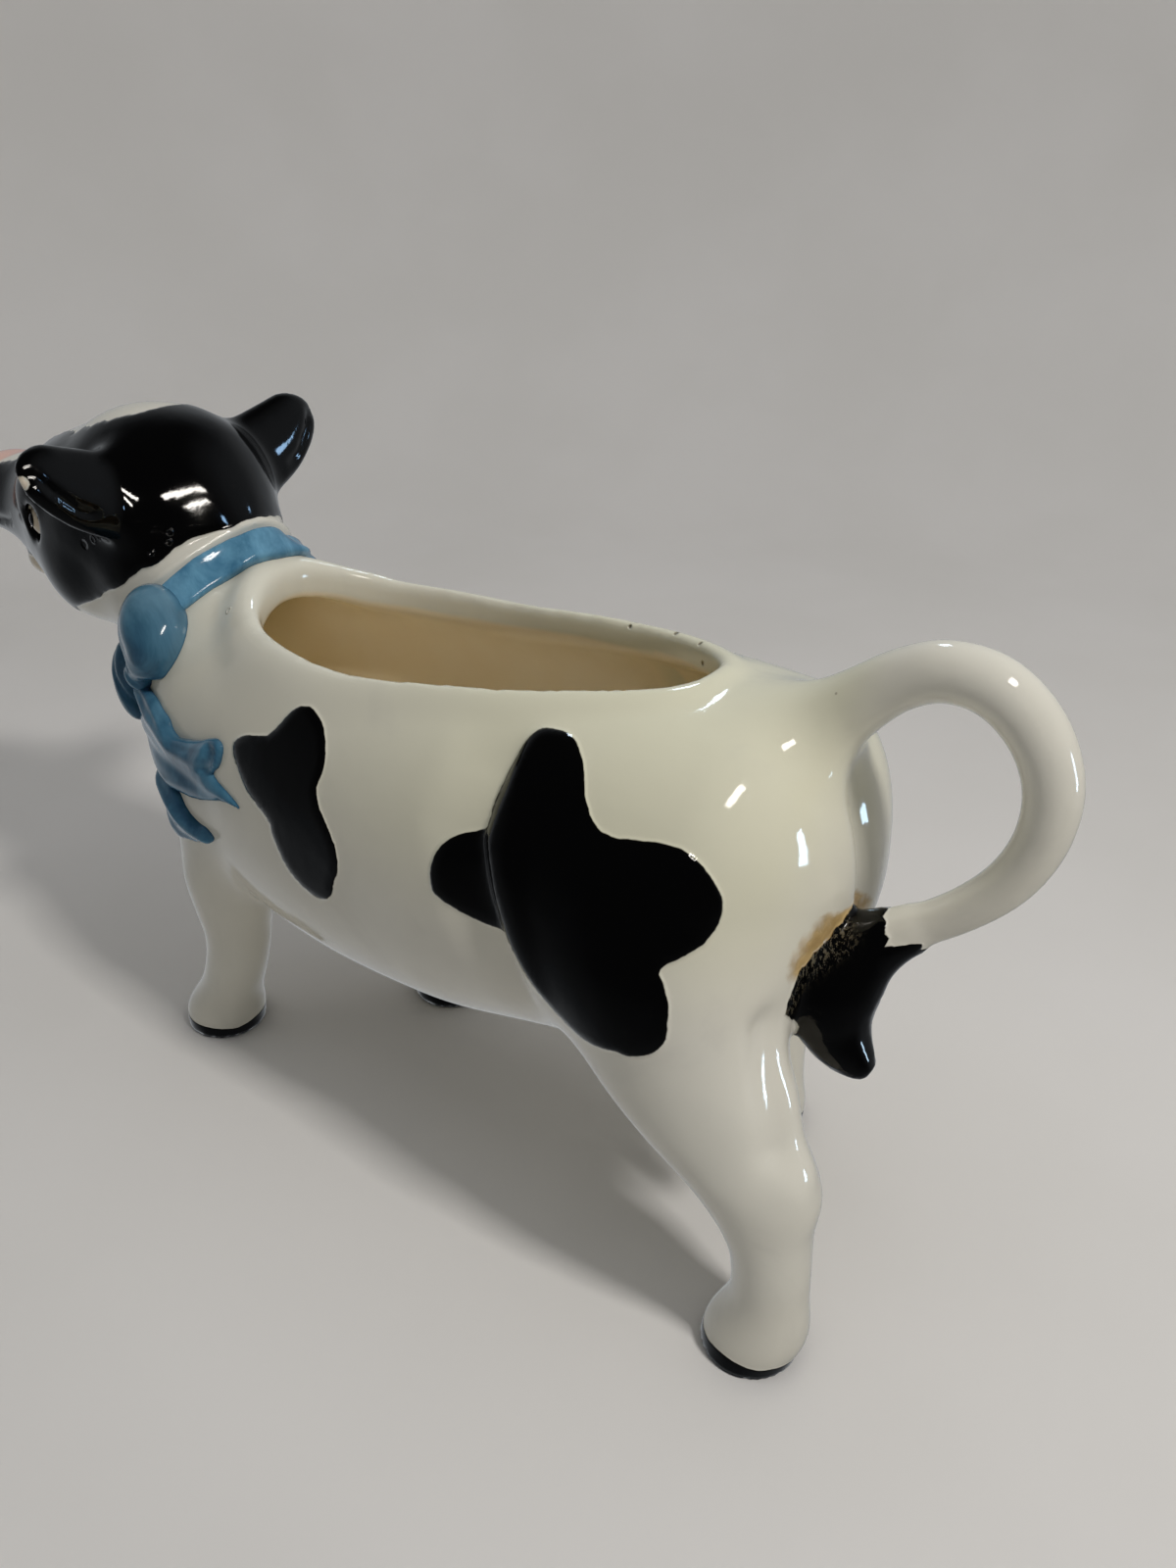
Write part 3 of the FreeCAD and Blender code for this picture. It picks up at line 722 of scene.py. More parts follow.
def head_paint(V):
    x, y, z = V.T
    q = V - NECK_C
    s, u = q @ NECK_D, q @ NECK_U
    phi = np.degrees(np.arctan2(np.abs(y), -u))
    edge = np.interp(phi, [0, 10, 22, 32, 42, 52, 66, 81, 115, 139, 160, 180], [4.3, 4.6, 5.5, 6.1, 6.1, 6.1, 6.9, 7.6, 10.7, 13.8, 14.5, 15.0])
    arc = phi * 0.33 * np.sign(y)
    edge = edge + 0.16 * np.sin(arc * 0.55 + 1.0) + 0.12 * np.sin(arc * 1.35 + 0.4) * np.sin(arc * 0.37)
    black = edge - s
    # blaze down the forehead and the bridge of the nose
    half = np.interp(-x, [46.2, 46.9, 48.9, 51.7, 55.3, 62.8, 66, 70, 79, 86, 91, 98], [-1, 3.4, 5.9, 7.0, 8.0, 7.4, 5.6, 4.6, 3.4, 3.0, 3.6, 6.0])
    blaze = half - np.abs(y + 0.1) + 0.25 * np.sin(x * 1.3) + 0.15 * np.sin(x * 3.1)
    blaze = np.where(z > 93, blaze, -5)
    black = np.maximum(black, blaze)
    # under the jaw and the chin
    under = np.interp(-x, [58, 64, 72, 78, 84, 90, 96], [68, 69, 71, 77.5, 81.4, 82.4, 84.0]) + 0.3 * np.sin(y * 1.1 + x * 0.7) - z
    black = np.maximum(black, under)
    nose = -(x + 96.5 - 0.28 * (z - 92) + 0.35 * np.sin(y * 0.9) + 0.2 * np.sin(z * 1.3))
    black = np.maximum(black, nose)
    out = {"deep": -np.minimum(outside(V), 9)}
    out["deep"] = np.where(x < -95, np.minimum(out["deep"], 1.0), out["deep"])
    # eyes: cream ball with a dark pupil looking forwards and out
    A = V.copy()
    A[:, 1] = np.abs(A[:, 1])
    e = A - EYE_C
    ball = np.sqrt((e**2).sum(1))
    look = (e / (ball[:, None] + 1e-6)) @ unit([-0.35, 0.92, 0.12])
    ang = np.degrees(np.arccos(np.clip(look, -1, 1)))
    white = np.where(ball < 4.1, (50 - ang) * 0.058, -5)
    pupil = np.where(ball < 4.1, (24 - ang) * 0.058, -5)
    black = np.maximum(black, white)
    black = np.where(pupil > -1.2, np.minimum(black, -pupil), black)
    # cream tips inside the ears
    qe = A + np.where(y < 0, 1.0, 0.0)[:, None] * EAR_DROOP - EAR_C
    se, ue, we = qe @ EAR_A, qe @ EAR_U, qe @ EAR_W
    inner = 0.9 - np.sqrt(((se - 18.9) / 1.0) ** 2 + ((ue - 0.9) / 1.4) ** 2)
    inner = np.where((y < 0) & (we < 1.5), inner, -5)
    cup = 2.2 - np.sqrt(((se - 12.5) / 2.0) ** 2 + ((ue - 0.6) / 0.9) ** 2)
    inner = np.where(np.abs(y) > 14, np.maximum(inner, np.where(we < -0.3, cup, -5)), -5)
    black = np.maximum(black, inner)
    out["black"] = black
    out["pink"] = -nose
    out["cream"] = np.minimum(-under, np.where(np.maximum(white, inner) > 0, -np.maximum(white, inner), 20.0))
    out["dry"] = np.full(len(V), 9.0)
    out["pool"] = np.zeros(len(V))
    out["stain"] = np.full(len(V), 20.0)
    return out


def relief(V, nrm, black, height, width):
    """Lifts the thickly painted areas a little, with a rounded edge."""
    return V + nrm * (height * step01(-black, -0.1, width))[:, None]


def neck_plane(P):
    return (P - NECK_C) @ NECK_D


def body_fn(P):
    return smax(total(P), neck_plane(P), 0.1)


def head_fn(P):
    return smax(total(P), -neck_plane(P), 0.1)


# ---- ribbon, bow and its ends, all in relief on the neck and flank ---------------------
LOOP_N = unit([0.25, -0.9, 0.35])


def tangent_axes(n, up):
    n = unit(n)
    t1 = unit(np.asarray(up, float) - n * (np.asarray(up, float) @ n))
    t2 = np.cross(t1, n)
    return np.array([t2, t1, n])


VIEW_R = np.array([0.814, 0.581, 0.0])
VIEW_U = np.array([-0.265, 0.371, 0.890])
RIBBON_W, RIBBON_T = 5.8, 1.05
LOOP_AX = tangent_axes(LOOP_N, VIEW_U - 0.16 * VIEW_R)
LOOP_C = np.array([-35.0, -18.0, 80.8])
LOOP2_AX = tangent_axes(unit([-0.35, -0.88, 0.05]), VIEW_U + 0.10 * VIEW_R)
LOOP2_C = np.array([-45.2, -16.6, 69.6])
KNOT_C = np.array([-39.6, -18.4, 72.6])


def band_fn(P):
    D = outside(P)
    s = neck_plane(P)
    y = P[..., 1]
    mid = np.interp(y, [-20.0, -14.0, -10.0, -5.0, 0.0, 5.0, 14.0], [-0.6, -0.1, 0.35, 0.25, -0.45, -0.9, -0.4])
    d = smax(D - RIBBON_T, np.abs(s - mid) - RIBBON_W / 2, 1.1)
    return np.maximum(d, -(D + 0.7))


def knot_fn(P):
    d = ellipsoid(P, KNOT_C, (3.2, 2.6, 3.2))
    g = np.abs((P - KNOT_C) @ unit([0.6, 0, 0.8]))
    return d + 0.25 * np.exp(-((g / 0.6) ** 2))


def loop_up_fn(P):
    c = LOOP_C
    back = ellipsoid(P, c - LOOP_N * 0.9 - LOOP_AX[0] * 0.4, (6.6, 7.8, 3.3), LOOP_AX)
    ball = ellipsoid(P, c + LOOP_AX[0] * 0.7 + LOOP_AX[1] * 0.4 + LOOP_N * 0.5, (5.6, 6.9, 4.2), LOOP_AX)
    d = smin(back, ball, 0.9)
    root = line_distance(P, [KNOT_C, LOOP_C - LOOP_AX[1] * 4.0 - LOOP_AX[0] * 2.0]) - 2.3
    return smin(d, root, 2.0)


def loop_low_fn(P):
    c = LOOP2_C
    d = ellipsoid(P, c, (3.9, 7.0, 3.2), LOOP2_AX)
    root = line_distance(P, [KNOT_C, LOOP2_C + LOOP2_AX[1] * 1.5]) - 2.0
    d = smin(d, root, 1.8)
    crease = np.abs((P - c) @ unit(LOOP2_AX[0] * 1.0 + LOOP2_AX[1] * 0.35) - 1.4)
    return d + 0.35 * np.exp(-((crease / 0.55) ** 2))


END_UPPER = [(-39.6, 25.4), (-37.6, 27.5), (-33.4, 29.0), (-31.5, 30.5), (-29.1, 31.7), (-28.3, 33.4), (-26.3, 34.5), (-24.9, 34.3),
             (-19.5, 33.2), (-14.7, 31.5), (-12.6, 31.4), (-11.2, 32.4), (-12.2, 35.7), (-14.3, 37.2), (-14.6, 38.1), (-8.6, 40.0),
             (-6.5, 41.4), (-9.1, 41.2), (-13.8, 42.3), (-21.4, 45.4), (-27.1, 46.0), (-31.6, 47.0), (-37.6, 45.0), (-41.5, 41.0),
             (-43.6, 36.0), (-44.0, 31.0), (-43.0, 27.0)]
END_LOWER = [(-37.0, 44.5), (-31.0, 45.4), (-28.3, 46.4), (-25.7, 49.5), (-22.0, 50.7), (-20.4, 50.4), (-18.2, 51.5), (-18.6, 52.5),
             (-19.9, 53.6), (-23.4, 54.9), (-26.3, 55.3), (-28.8, 56.2), (-32.0, 56.6), (-34.6, 53.6), (-36.4, 50.0), (-37.8, 47.0)]


def end_fn(poly, lift, extra):
    def fn(P):
        D = outside(P)
        sd = poly_distance(wrap(P, -1).reshape(-1, 2), rounded(poly, 1)).reshape(D.shape)
        h = 0.3 + lift * np.sqrt(np.clip(-sd / 2.4, 0, 1)) + extra(P, sd)
        d = smax(D - h, sd, 0.7)
        return np.maximum(d, -(D + 0.8))

    return fn


def upper_folds(P, sd):
    w = wrap(P, -1)
    x, t = w[..., 0], w[..., 1]
    ridge = np.exp(-(((t - np.interp(x, [-44, -36, -28, -20, -12], [27, 33.0, 36.5, 37.0, 34.5])) / 1.6) ** 2)) * 0.45
    tuck = -0.7 * step01(-np.abs(x - np.interp(t, [32, 35, 38], [-13.4, -14.2, -16.8])), -2.1, -0.4) * step01(38.4 - t, 0, 1.2) * step01(t, 32.2, 33.4)
    valley = -0.2 * np.exp(-(((t - 40.6 - 0.12 * (x + 25)) / 1.3) ** 2))
    edge = 0.25 * np.exp(-(((t - np.interp(x, [-40, -34, -28, -20, -12], [27.5, 30.6, 35.2, 34.6, 32.8])) / 0.7) ** 2))
    return ridge + tuck + valley + edge


def lower_folds(P, sd):
    w = wrap(P, -1)
    x, t = w[..., 0], w[..., 1]
    return 0.35 * np.exp(-(((t - np.interp(x, [-36, -28, -20], [47, 50.5, 52.2])) / 1.2) ** 2)) - 0.15 * np.exp(
        -(((t - np.interp(x, [-36, -28, -20], [50, 53.5, 54])) / 1.0) ** 2))


# =====================================================================================
# Materials
# =====================================================================================


class Tree:
    def __init__(self, name):
        self.mat = bpy.data.materials.new(name)
        self.mat.use_nodes = True
        self.t = self.mat.node_tree
        self.t.nodes.clear()
        self.out = self.t.nodes.new("ShaderNodeOutputMaterial")
        self.bsdf = self.t.nodes.new("ShaderNodeBsdfPrincipled")
        self.t.links.new(self.bsdf.outputs[0], self.out.inputs[0])
        self.coord = self.t.nodes.new("ShaderNodeTexCoord").outputs["Object"]

    def node(self, kind, **kw):
        n = self.t.nodes.new(kind)
        for k, v in kw.items():
            setattr(n, k, v)
        return n

    def put(self, socket, value):
        if hasattr(value, "is_output") or isinstance(value, bpy.types.NodeSocket):
            self.t.links.new(value, socket)
        else:
            socket.default_value = value

    def math(self, op, a, b=0.0, c=None, clamp=False):
        n = self.node("ShaderNodeMath", operation=op, use_clamp=clamp)
        self.put(n.inputs[0], a)
        self.put(n.inputs[1], b)
        if c is not None:
            self.put(n.inputs[2], c)
        return n.outputs[0]

    def ramp(self, x, lo, hi, a=0.0, b=1.0, smooth=True):
        n = self.node("ShaderNodeMapRange", interpolation_type="SMOOTHSTEP" if smooth else "LINEAR", clamp=True)
        for s, v in zip(n.inputs, (x, lo, hi, a, b)):
            self.put(s, v)
        return n.outputs[0]

    def attr(self, name):
        return self.node("ShaderNodeAttribute", attribute_name=name).outputs["Fac"]

    def mapped(self, scale=(1, 1, 1), rot=(0, 0, 0), loc=(0, 0, 0)):
        n = self.node("ShaderNodeMapping")
        self.put(n.inputs["Vector"], self.coord)
        n.inputs["Scale"].default_value = scale
        n.inputs["Rotation"].default_value = rot
        n.inputs["Location"].default_value = loc
        return n.outputs[0]

    def noise(self, scale, detail=2.0, rough=0.5, vec=None, distort=0.0):
        n = self.node("ShaderNodeTexNoise")
        self.put(n.inputs["Vector"], vec if vec is not None else self.coord)
        n.inputs["Scale"].default_value = scale
        n.inputs["Detail"].default_value = detail
        n.inputs["Roughness"].default_value = rough
        n.inputs["Distortion"].default_value = distort
        return n.outputs["Fac"]

    def voronoi(self, scale, vec=None):
        n = self.node("ShaderNodeTexVoronoi")
        self.put(n.inputs["Vector"], vec if vec is not None else self.coord)
        n.inputs["Scale"].default_value = scale
        return n.outputs["Distance"]

    def mix(self, f, a, b):
        n = self.node("ShaderNodeMix", data_type="RGBA")
        self.put(n.inputs["Factor"], f)
        ia, ib = n.inputs[6], n.inputs[7]
        for s, v in ((ia, a), (ib, b)):
            if isinstance(v, tuple):
                s.default_value = (*v, 1.0)
            else:
                self.t.links.new(v, s)
        return n.outputs[2]

    def mixf(self, f, a, b):
        n = self.node("ShaderNodeMix", data_type="FLOAT")
        self.put(n.inputs[0], f)
        self.put(n.inputs[2], a)
        self.put(n.inputs[3], b)
        return n.outputs[0]

    def spots(self, places):
        """Millimetres to the nearest of a few small flaws, less each one's radius."""
        level = None
        for x, y, z, r in places:
            n = self.node("ShaderNodeVectorMath", operation="DISTANCE")
            self.put(n.inputs[0], self.coord)
            n.inputs[1].default_value = (x * MM, y * MM, z * MM)
            d = self.math("MULTIPLY_ADD", n.outputs["Value"], 1000.0, -r)
            level = d if level is None else self.math("MINIMUM", level, d)
        return level

    def bump(self, height, distance, strength=1.0, normal=None):
        n = self.node("ShaderNodeBump")
        n.inputs["Strength"].default_value = strength
        n.inputs["Distance"].default_value = distance
        self.put(n.inputs["Height"], height)
        if normal is not None:
            self.put(n.inputs["Normal"], normal)
        return n.outputs[0]


WHITE_A, WHITE_B, POOL = (0.735, 0.712, 0.625), (0.785, 0.768, 0.685), (0.75, 0.735, 0.565)


PITS = [(16.4, 17.2, 85.9, 0.30), (20.6, 17.0, 86.4, 0.26), (35.2, 15.2, 85.6, 0.30), (44.5, 13.3, 87.0, 0.36), (50.1, 10.3, 87.6, 0.34),
        (51.5, 8.9, 85.3, 0.28), (-51.0, -16.8, 92.3, 0.75)]
BUBBLES = [(-35.7, -11.2, 95.3, 0.55), (-35.8, -11.6, 93.8, 0.50), (-48.3, -16.7, 93.5, 0.60), (-46.4, -16.8, 94.2, 0.45), (-38.0, -13.5, 92.1, 0.45),
           (-21.9, -12.6, 85.2, 0.5)]


def cow_glaze(name):
    m = Tree(name)
    big = m.noise(22.0, 3.0, 0.55)
    mid = m.noise(70.0, 3.0, 0.6)
    fine = m.noise(900.0, 2.0, 0.6)
    # thick warm white, uneven where it pooled
    col = m.mix(m.ramp(big, 0.35, 0.65), WHITE_A, WHITE_B)
    pool = m.math("MULTIPLY", m.attr("pool"), m.ramp(m.noise(14.0, 2.0), 0.2, 0.8, 0.6, 1.0))
    col = m.mix(pool, col, POOL)
    smudge = m.math("MULTIPLY", m.ramp(m.noise(48.0, 4.0, 0.6, m.mapped(loc=(3.1, 0.7, 1.9)), 0.6), 0.56, 0.74), 0.16)
    col = m.mix(smudge, col, (0.52, 0.50, 0.46))
    # specks in the glaze
    speck = m.ramp(m.voronoi(160.0, m.mapped(loc=(0.3, 0.9, 0.2))), 0.035, 0.02)
    speck = m.math("MULTIPLY", speck, m.ramp(m.noise(30.0, 1.0), 0.58, 0.64))
    col = m.mix(m.math("MULTIPLY", speck, 0.55), col, (0.20, 0.16, 0.11))
    pits = m.spots(PITS)
    col = m.mix(m.math("MULTIPLY", m.ramp(pits, 0.12, -0.10), 0.8), col, (0.16, 0.12, 0.07))
    # stain where the tail is stuck on
    near = m.math("ADD", m.attr("stain"), m.math("MULTIPLY", m.math("SUBTRACT", m.noise(260.0, 4.0, 0.65), 0.5), 3.6))
    stain = m.ramp(near, 3.5, 1.1)
    col = m.mix(m.math("MULTIPLY", stain, 0.85), col, m.mix(m.ramp(m.noise(420.0, 2.0), 0.35, 0.65), (0.37, 0.215, 0.05), (0.55, 0.36, 0.12)))
    # inside of the jug: partly its own cream glaze, partly painted light: a warmer tan for the shade and warm bounce
    # light inside, made bright to stand in for light that barely reaches in
    lip = m.math("ADD", m.attr("deep"), m.math("MULTIPLY", m.math("SUBTRACT", m.noise(55.0, 2.0), 0.5), 1.6))
    inner = m.ramp(lip, 2.3, 3.15)
    inside_tan_painted_light = m.mix(m.ramp(m.noise(35.0, 3.0, 0.6, m.mapped(scale=(1, 1, 0.5))), 0.3, 0.7), (0.90, 0.785, 0.585), (0.94, 0.86, 0.69))
    col = m.mix(inner, col, inside_tan_painted_light)
    # pink nose, cream chin, eyes and ear tips
    wob = m.math("MULTIPLY", m.math("SUBTRACT", m.noise(330.0, 2.0), 0.5), 0.7)
    cream = m.ramp(m.math("ADD", m.attr("cream"), wob), 0.3, -0.3)
    col = m.mix(cream, col, m.mix(m.ramp(mid, 0.35, 0.65), (0.66, 0.56, 0.43), (0.74, 0.66, 0.54)))
    pink = m.ramp(m.math("ADD", m.attr("pink"), m.math("MULTIPLY", wob, 1.6)), 0.8, -0.8)
    col = m.mix(m.math("MULTIPLY", pink, 0.9), col, m.mix(m.ramp(mid, 0.3, 0.7), (0.72, 0.36, 0.30), (0.80, 0.50, 0.42)))
    # black, brushed on thickly
    edge = m.math("ADD", m.attr("black"), m.math("MULTIPLY", m.math("SUBTRACT", m.noise(420.0, 3.0, 0.6), 0.5), 0.42))
    black = m.ramp(edge, 0.10, -0.10)
    hair = m.noise(150.0, 5.0, 0.75, m.mapped(scale=(1.0, 1.0, 9.0), rot=(0.5, 0.95, 0.2)))
    hair2 = m.noise(170.0, 5.0, 0.75, m.mapped(scale=(7.0, 1.0, 1.0), rot=(0.1, -0.5, 0.7)))
    where = m.ramp(m.noise(42.0, 2.0, 0.5, m.mapped(loc=(1.7, 2.2, 0.4))), 0.52, 0.66)
    streak = m.math("MULTIPLY", m.math("MAXIMUM", m.ramp(hair, 0.60, 0.72), m.ramp(hair2, 0.63, 0.74)), where)
    ink = m.mix(m.math("MULTIPLY", streak, 0.6), (0.0020, 0.0019, 0.0021), (0.050, 0.044, 0.032))
    dryline = m.noise(2300.0, 4.0, 0.8, m.mapped(scale=(1.0, 1.0, 0.35), rot=(0.3, 0.7, 0.0)))
    dry = m.math("MULTIPLY", m.ramp(m.math("ADD", m.attr("dry"), m.math("MULTIPLY", dryline, 2.4)), 2.4, 0.9), m.ramp(dryline, 0.50, 0.60))
    ink = m.mix(m.math("MULTIPLY", dry, 0.75), ink, (0.20, 0.172, 0.112))
    col = m.mix(black, col, ink)
    m.put(m.bsdf.inputs["Base Color"], col)
    # gloss
    r = m.ramp(m.noise(120.0, 3.0), 0.3, 0.7, 0.055, 0.10)
    r = m.mixf(inner, r, 0.20)
    r = m.mixf(m.math("MULTIPLY", stain, 0.8), r, 0.34)
    rb = m.mixf(streak, m.ramp(mid, 0.3, 0.7, 0.06, 0.11), 0.26)
    rb = m.mixf(dry, rb, 0.62)
    r = m.mixf(black, r, rb)
    m.put(m.bsdf.inputs["Roughness"], r)
    m.bsdf.inputs["IOR"].default_value = 1.52
    # slow waves of thick glaze, fine orange peel, the raised edge of the black
    waves = m.bump(m.noise(85.0, 2.0, 0.5), 0.00035, 0.6)
    waves = m.bump(m.noise(260.0, 2.0, 0.5), 0.00005, 0.45, waves)
    peel = m.bump(fine, 0.00002, 0.5, waves)
    rim = m.bump(m.ramp(edge, 0.45, -0.35), 0.00022, 0.9, peel)
    brushed = m.bump(m.math("MULTIPLY", m.math("MAXIMUM", streak, m.math("MULTIPLY", dry, 1.6)), black), 0.00004, 0.8, rim)
    flaw = m.bump(m.ramp(pits, 0.25, -0.25, 1.0, 0.0), 0.0004, 1.0, brushed)
    ring = m.math("ABSOLUTE", m.spots(BUBBLES))
    flaw = m.bump(m.ramp(ring, 0.28, 0.0), 0.00022, 1.0, flaw)
    m.put(m.bsdf.inputs["Normal"], flaw)
    return m.mat


def blue_glaze(name, painted_light_scale=1.0, turn=0.0):
    m = Tree(name)
    a = m.noise(130.0, 4.0, 0.65, m.mapped(scale=(1.0, 1.6, 0.55), rot=(0.2, turn, 0.3)), 0.5)
    b = m.noise(55.0, 2.0, 0.5, m.mapped(loc=(0.4, 1.2, 2.0)))
    # the scale lightens or darkens this copy of the one blue glaze: painted light and shade
    col = m.mix(m.ramp(a, 0.3, 0.72), (0.042 * painted_light_scale, 0.112 * painted_light_scale, 0.185 * painted_light_scale), (0.105 * painted_light_scale, 0.235 * painted_light_scale, 0.345 * painted_light_scale))
    col = m.mix(m.math("MULTIPLY", m.ramp(b, 0.45, 0.7), 0.35), col, (0.20 * painted_light_scale, 0.37 * painted_light_scale, 0.50 * painted_light_scale))
    thin = m.ramp(m.attr("thin"), 0.35, -0.05)
    col = m.mix(m.math("MULTIPLY", thin, 0.6), col, (0.034, 0.085, 0.145))
    # painted highlight: a paler blue where the raised blue faces up, as where the light falls on it
    painted_highlight = m.ramp(m.attr("painted_highlight"), 0.0, 1.0)
    col = m.mix(m.math("MULTIPLY", painted_highlight, 0.35), col, (0.30, 0.50, 0.62))
    m.put(m.bsdf.inputs["Base Color"], col)
    m.put(m.bsdf.inputs["Roughness"], m.ramp(a, 0.3, 0.7, 0.07, 0.15))
    m.bsdf.inputs["IOR"].default_value = 1.52
    n = m.bump(m.noise(140.0, 2.0), 0.0003, 0.45)
    n = m.bump(a, 0.00005, 0.6, n)
    m.put(m.bsdf.inputs["Normal"], n)
    return m.mat


def floor_material():
    m = Tree("pale_floor")
    a = m.noise(9.0, 3.0)
    f = m.noise(700.0, 2.0, 0.6)
    col = m.mix(m.ramp(a, 0.35, 0.65), (0.78, 0.77, 0.755), (0.81, 0.80, 0.79))
    m.put(m.bsdf.inputs["Base Color"], col)
    m.put(m.bsdf.inputs["Roughness"], m.ramp(f, 0.3, 0.7, 0.75, 0.9))
    m.bsdf.inputs["Specular IOR Level"].default_value = 0.2
    m.put(m.bsdf.inputs["Normal"], m.bump(f, 0.00005, 0.35))
    return m.mat


# =====================================================================================
# Pieces
# =====================================================================================
glaze = cow_glaze("painted_glaze")

V, F = build(body_fn, (-66.0, -35.0, -1.0), (107.5, 35.0, 101.0), 0.8, 3)
V, F = biggest_part(V, F)
paint = body_paint(V)
N = gradient(total, V)
N = N / (np.linalg.norm(N, axis=1, keepdims=True) + 1e-9)
lifted = relief(V, N, np.where(V[:, 2] > 8, paint["black"], 20.0), 0.28, 0.9)
print("body", len(V), len(F))
body = make_object("cow_body", lifted, F, paint,
                   ("body_shell", "leg_front_left", "leg_front_right", "leg_hind_left", "leg_hind_right", "tail_handle", "tail_tuft"),
                   glaze)

V, F = build(head_fn, (-107.0, -33.0, 58.0), (-22.0, 33.0, 115.0), 0.6, 3)
V, F = biggest_part(V, F)
paint = head_paint(V)
N = gradient(total, V)
N = N / (np.linalg.norm(N, axis=1, keepdims=True) + 1e-9)
lifted = relief(V, N, paint["black"], 0.22, 0.8)
print("head", len(V), len(F))
head_obj = make_object("cow_head", lifted, F, paint, ("head_shell", "ear_left", "ear_right"), glaze)

# four copies of one blue glaze, each lighter or darker by painted light and shade: the ribbon band painted lighter,
# the bow a little darker, the far loop painted darker as though in shade
blue = blue_glaze("blue_ribbon_glaze_painted_light", 1.72, 0.4)
blue_dark = blue_glaze("blue_bow_glaze", 0.90, 1.3)
blue_end = blue_glaze("blue_end_glaze", 1.0, 0.9)
blue_far = blue_glaze("blue_far_loop_glaze_painted_shade", 0.66, 1.9)


def blue_piece(name, fn, lo, hi, h, node, material):
    V, F = build(fn, lo, hi, h, 3)
    V, F = biggest_part(V, F)
    D = outside(V)
    g = gradient(fn, V)
    up = g[:, 2] / (np.linalg.norm(g, axis=1) + 1e-9)
    # the second attribute is a painted highlight: paler where the blue is raised and faces up
    attrs = {"thin": D, "painted_highlight": step01(D, 0.9, 2.2) * step01(up, 0.1, 0.8) * 0.6}
    print(name, len(V), len(F))
    return make_object(name, V, F, attrs, node, material)


band_obj = blue_piece("ribbon_band", band_fn, (-66, -25, 50), (-15, 25, 103), 0.6, ("neck_ribbon",), blue)
knot_obj = blue_piece("bow_knot_piece", knot_fn, (-45, -23, 67), (-34, -13, 78), 0.35, ("bow_knot",), blue_dark)
loop_obj = blue_piece("bow_loop_top", loop_up_fn, (-46, -28, 68), (-24, -8, 93), 0.4, ("bow_loop_upper",), blue_dark)
blue_piece("bow_loop_bottom", loop_low_fn, (-54, -26, 59), (-34, -9, 80), 0.4, ("bow_loop_lower",), blue_far)
blue_piece("ribbon_tail_top", end_fn(END_UPPER, 0.95, upper_folds), (-49, -31, 50), (-3, -10, 80), 0.4, ("ribbon_end_upper",), blue_end)
blue_piece("ribbon_tail_bottom", end_fn(END_LOWER, 0.8, lower_folds), (-44, -31, 40), (-14, -12, 62), 0.4, ("ribbon_end_lower",), blue_end)

# =====================================================================================
# Studio: one sweep of pale floor, soft lights, the camera where the photograph was taken
# =====================================================================================


def sweep():
    """Floor that rises into a plain wall behind the creamer, in one curve."""
    rows = [0.0, 0.10, 0.20, 0.28, 0.34]
    seg, V = 120, [(0.0, 0.0, 0.0)]
    prof = [(r, 0.0) for r in rows]
    for i in range(1, 13):
        a = math.radians(90) * i / 12
        prof.append((0.34 + 0.20 * math.sin(a), 0.20 * (1 - math.cos(a))))
    prof += [(0.545, 0.32), (0.55, 0.50), (0.55, 0.70)]
    flat = [r for r, z in prof[:5]] + [0.34 + 0.10 * i for i in range(1, 16)]
    away = math.atan2(0.814, -0.581)
    for (r, z), r0 in zip(prof[1:], flat[1:]):
        for k in range(seg):
            t = 2 * math.pi * k / seg
            turn = abs((t - away + math.pi) % (2 * math.pi) - math.pi)
            w = 1 - min(max((math.degrees(turn) - 62) / 50, 0), 1)
            w = w * w * (3 - 2 * w)
            rr = r * w + r0 * (1 - w)
            V.append((rr * math.cos(t), rr * math.sin(t), z * w))
    F = [(0, 1 + k, 1 + (k + 1) % seg) for k in range(seg)]
    for j in range(len(prof) - 2):
        a, b = 1 + j * seg, 1 + (j + 1) * seg
        for k in range(seg):
            k2 = (k + 1) % seg
            F.append((a + k, b + k, b + k2, a + k2))
    me = bpy.data.meshes.new("studio_floor")
    me.from_pydata(V, [], F)
    me.polygons.foreach_set("use_smooth", np.ones(len(F), bool))
    me.update()
    ob = bpy.data.objects.new("studio_floor", me)
    bpy.context.scene.collection.objects.link(ob)
    me.materials.append(floor_material())
    ob.visible_glossy = False
    ob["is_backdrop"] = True
    return ob


sweep()


def area(name, place, aim, size, power, colour):
    li = bpy.data.lights.new(name, "AREA")
    li.shape = "RECTANGLE"
    li.size, li.size_y = size
    li.energy = power
    li.color = colour
    ob = bpy.data.objects.new(name, li)
    bpy.context.scene.collection.objects.link(ob)
    ob.location = place
    ob.rotation_mode = "QUATERNION"
    ob.rotation_quaternion = (Vector(aim) - Vector(place)).to_track_quat("-Z", "Y")
    return ob


def reach(az, el, d, c=(0.0, 0.0, 0.0)):
    a, e = math.radians(az), math.radians(el)
    return (c[0] + d * math.cos(e) * math.cos(a), c[1] + d * math.cos(e) * math.sin(a), c[2] + d * math.sin(e))


def strip(name, a, b, width, power, colour):
    """A long lamp from a to b, facing the creamer."""
    a, b = Vector(a), Vector(b)
    mid = (a + b) / 2
    x = (b - a).normalized()
    z = mid - Vector((-0.03, 0.0, 0.05))
    z = (z - x * z.dot(x)).normalized()
    ob = area(name, mid, (0, 0, 0), ((b - a).length, width), power, colour)
    ob.rotation_quaternion = Matrix((x, z.cross(x), z)).transposed().to_quaternion()
    return ob


def glint(lamp, *lit, shades=False):
    """A lamp seen only in the gloss of some pieces, and in their shading only if asked."""
    group = bpy.data.collections.new(lamp.name + "_on")
    for ob in lit:
        group.objects.link(ob)
    lamp.light_linking.receiver_collection = group
    lamp.visible_diffuse = shades


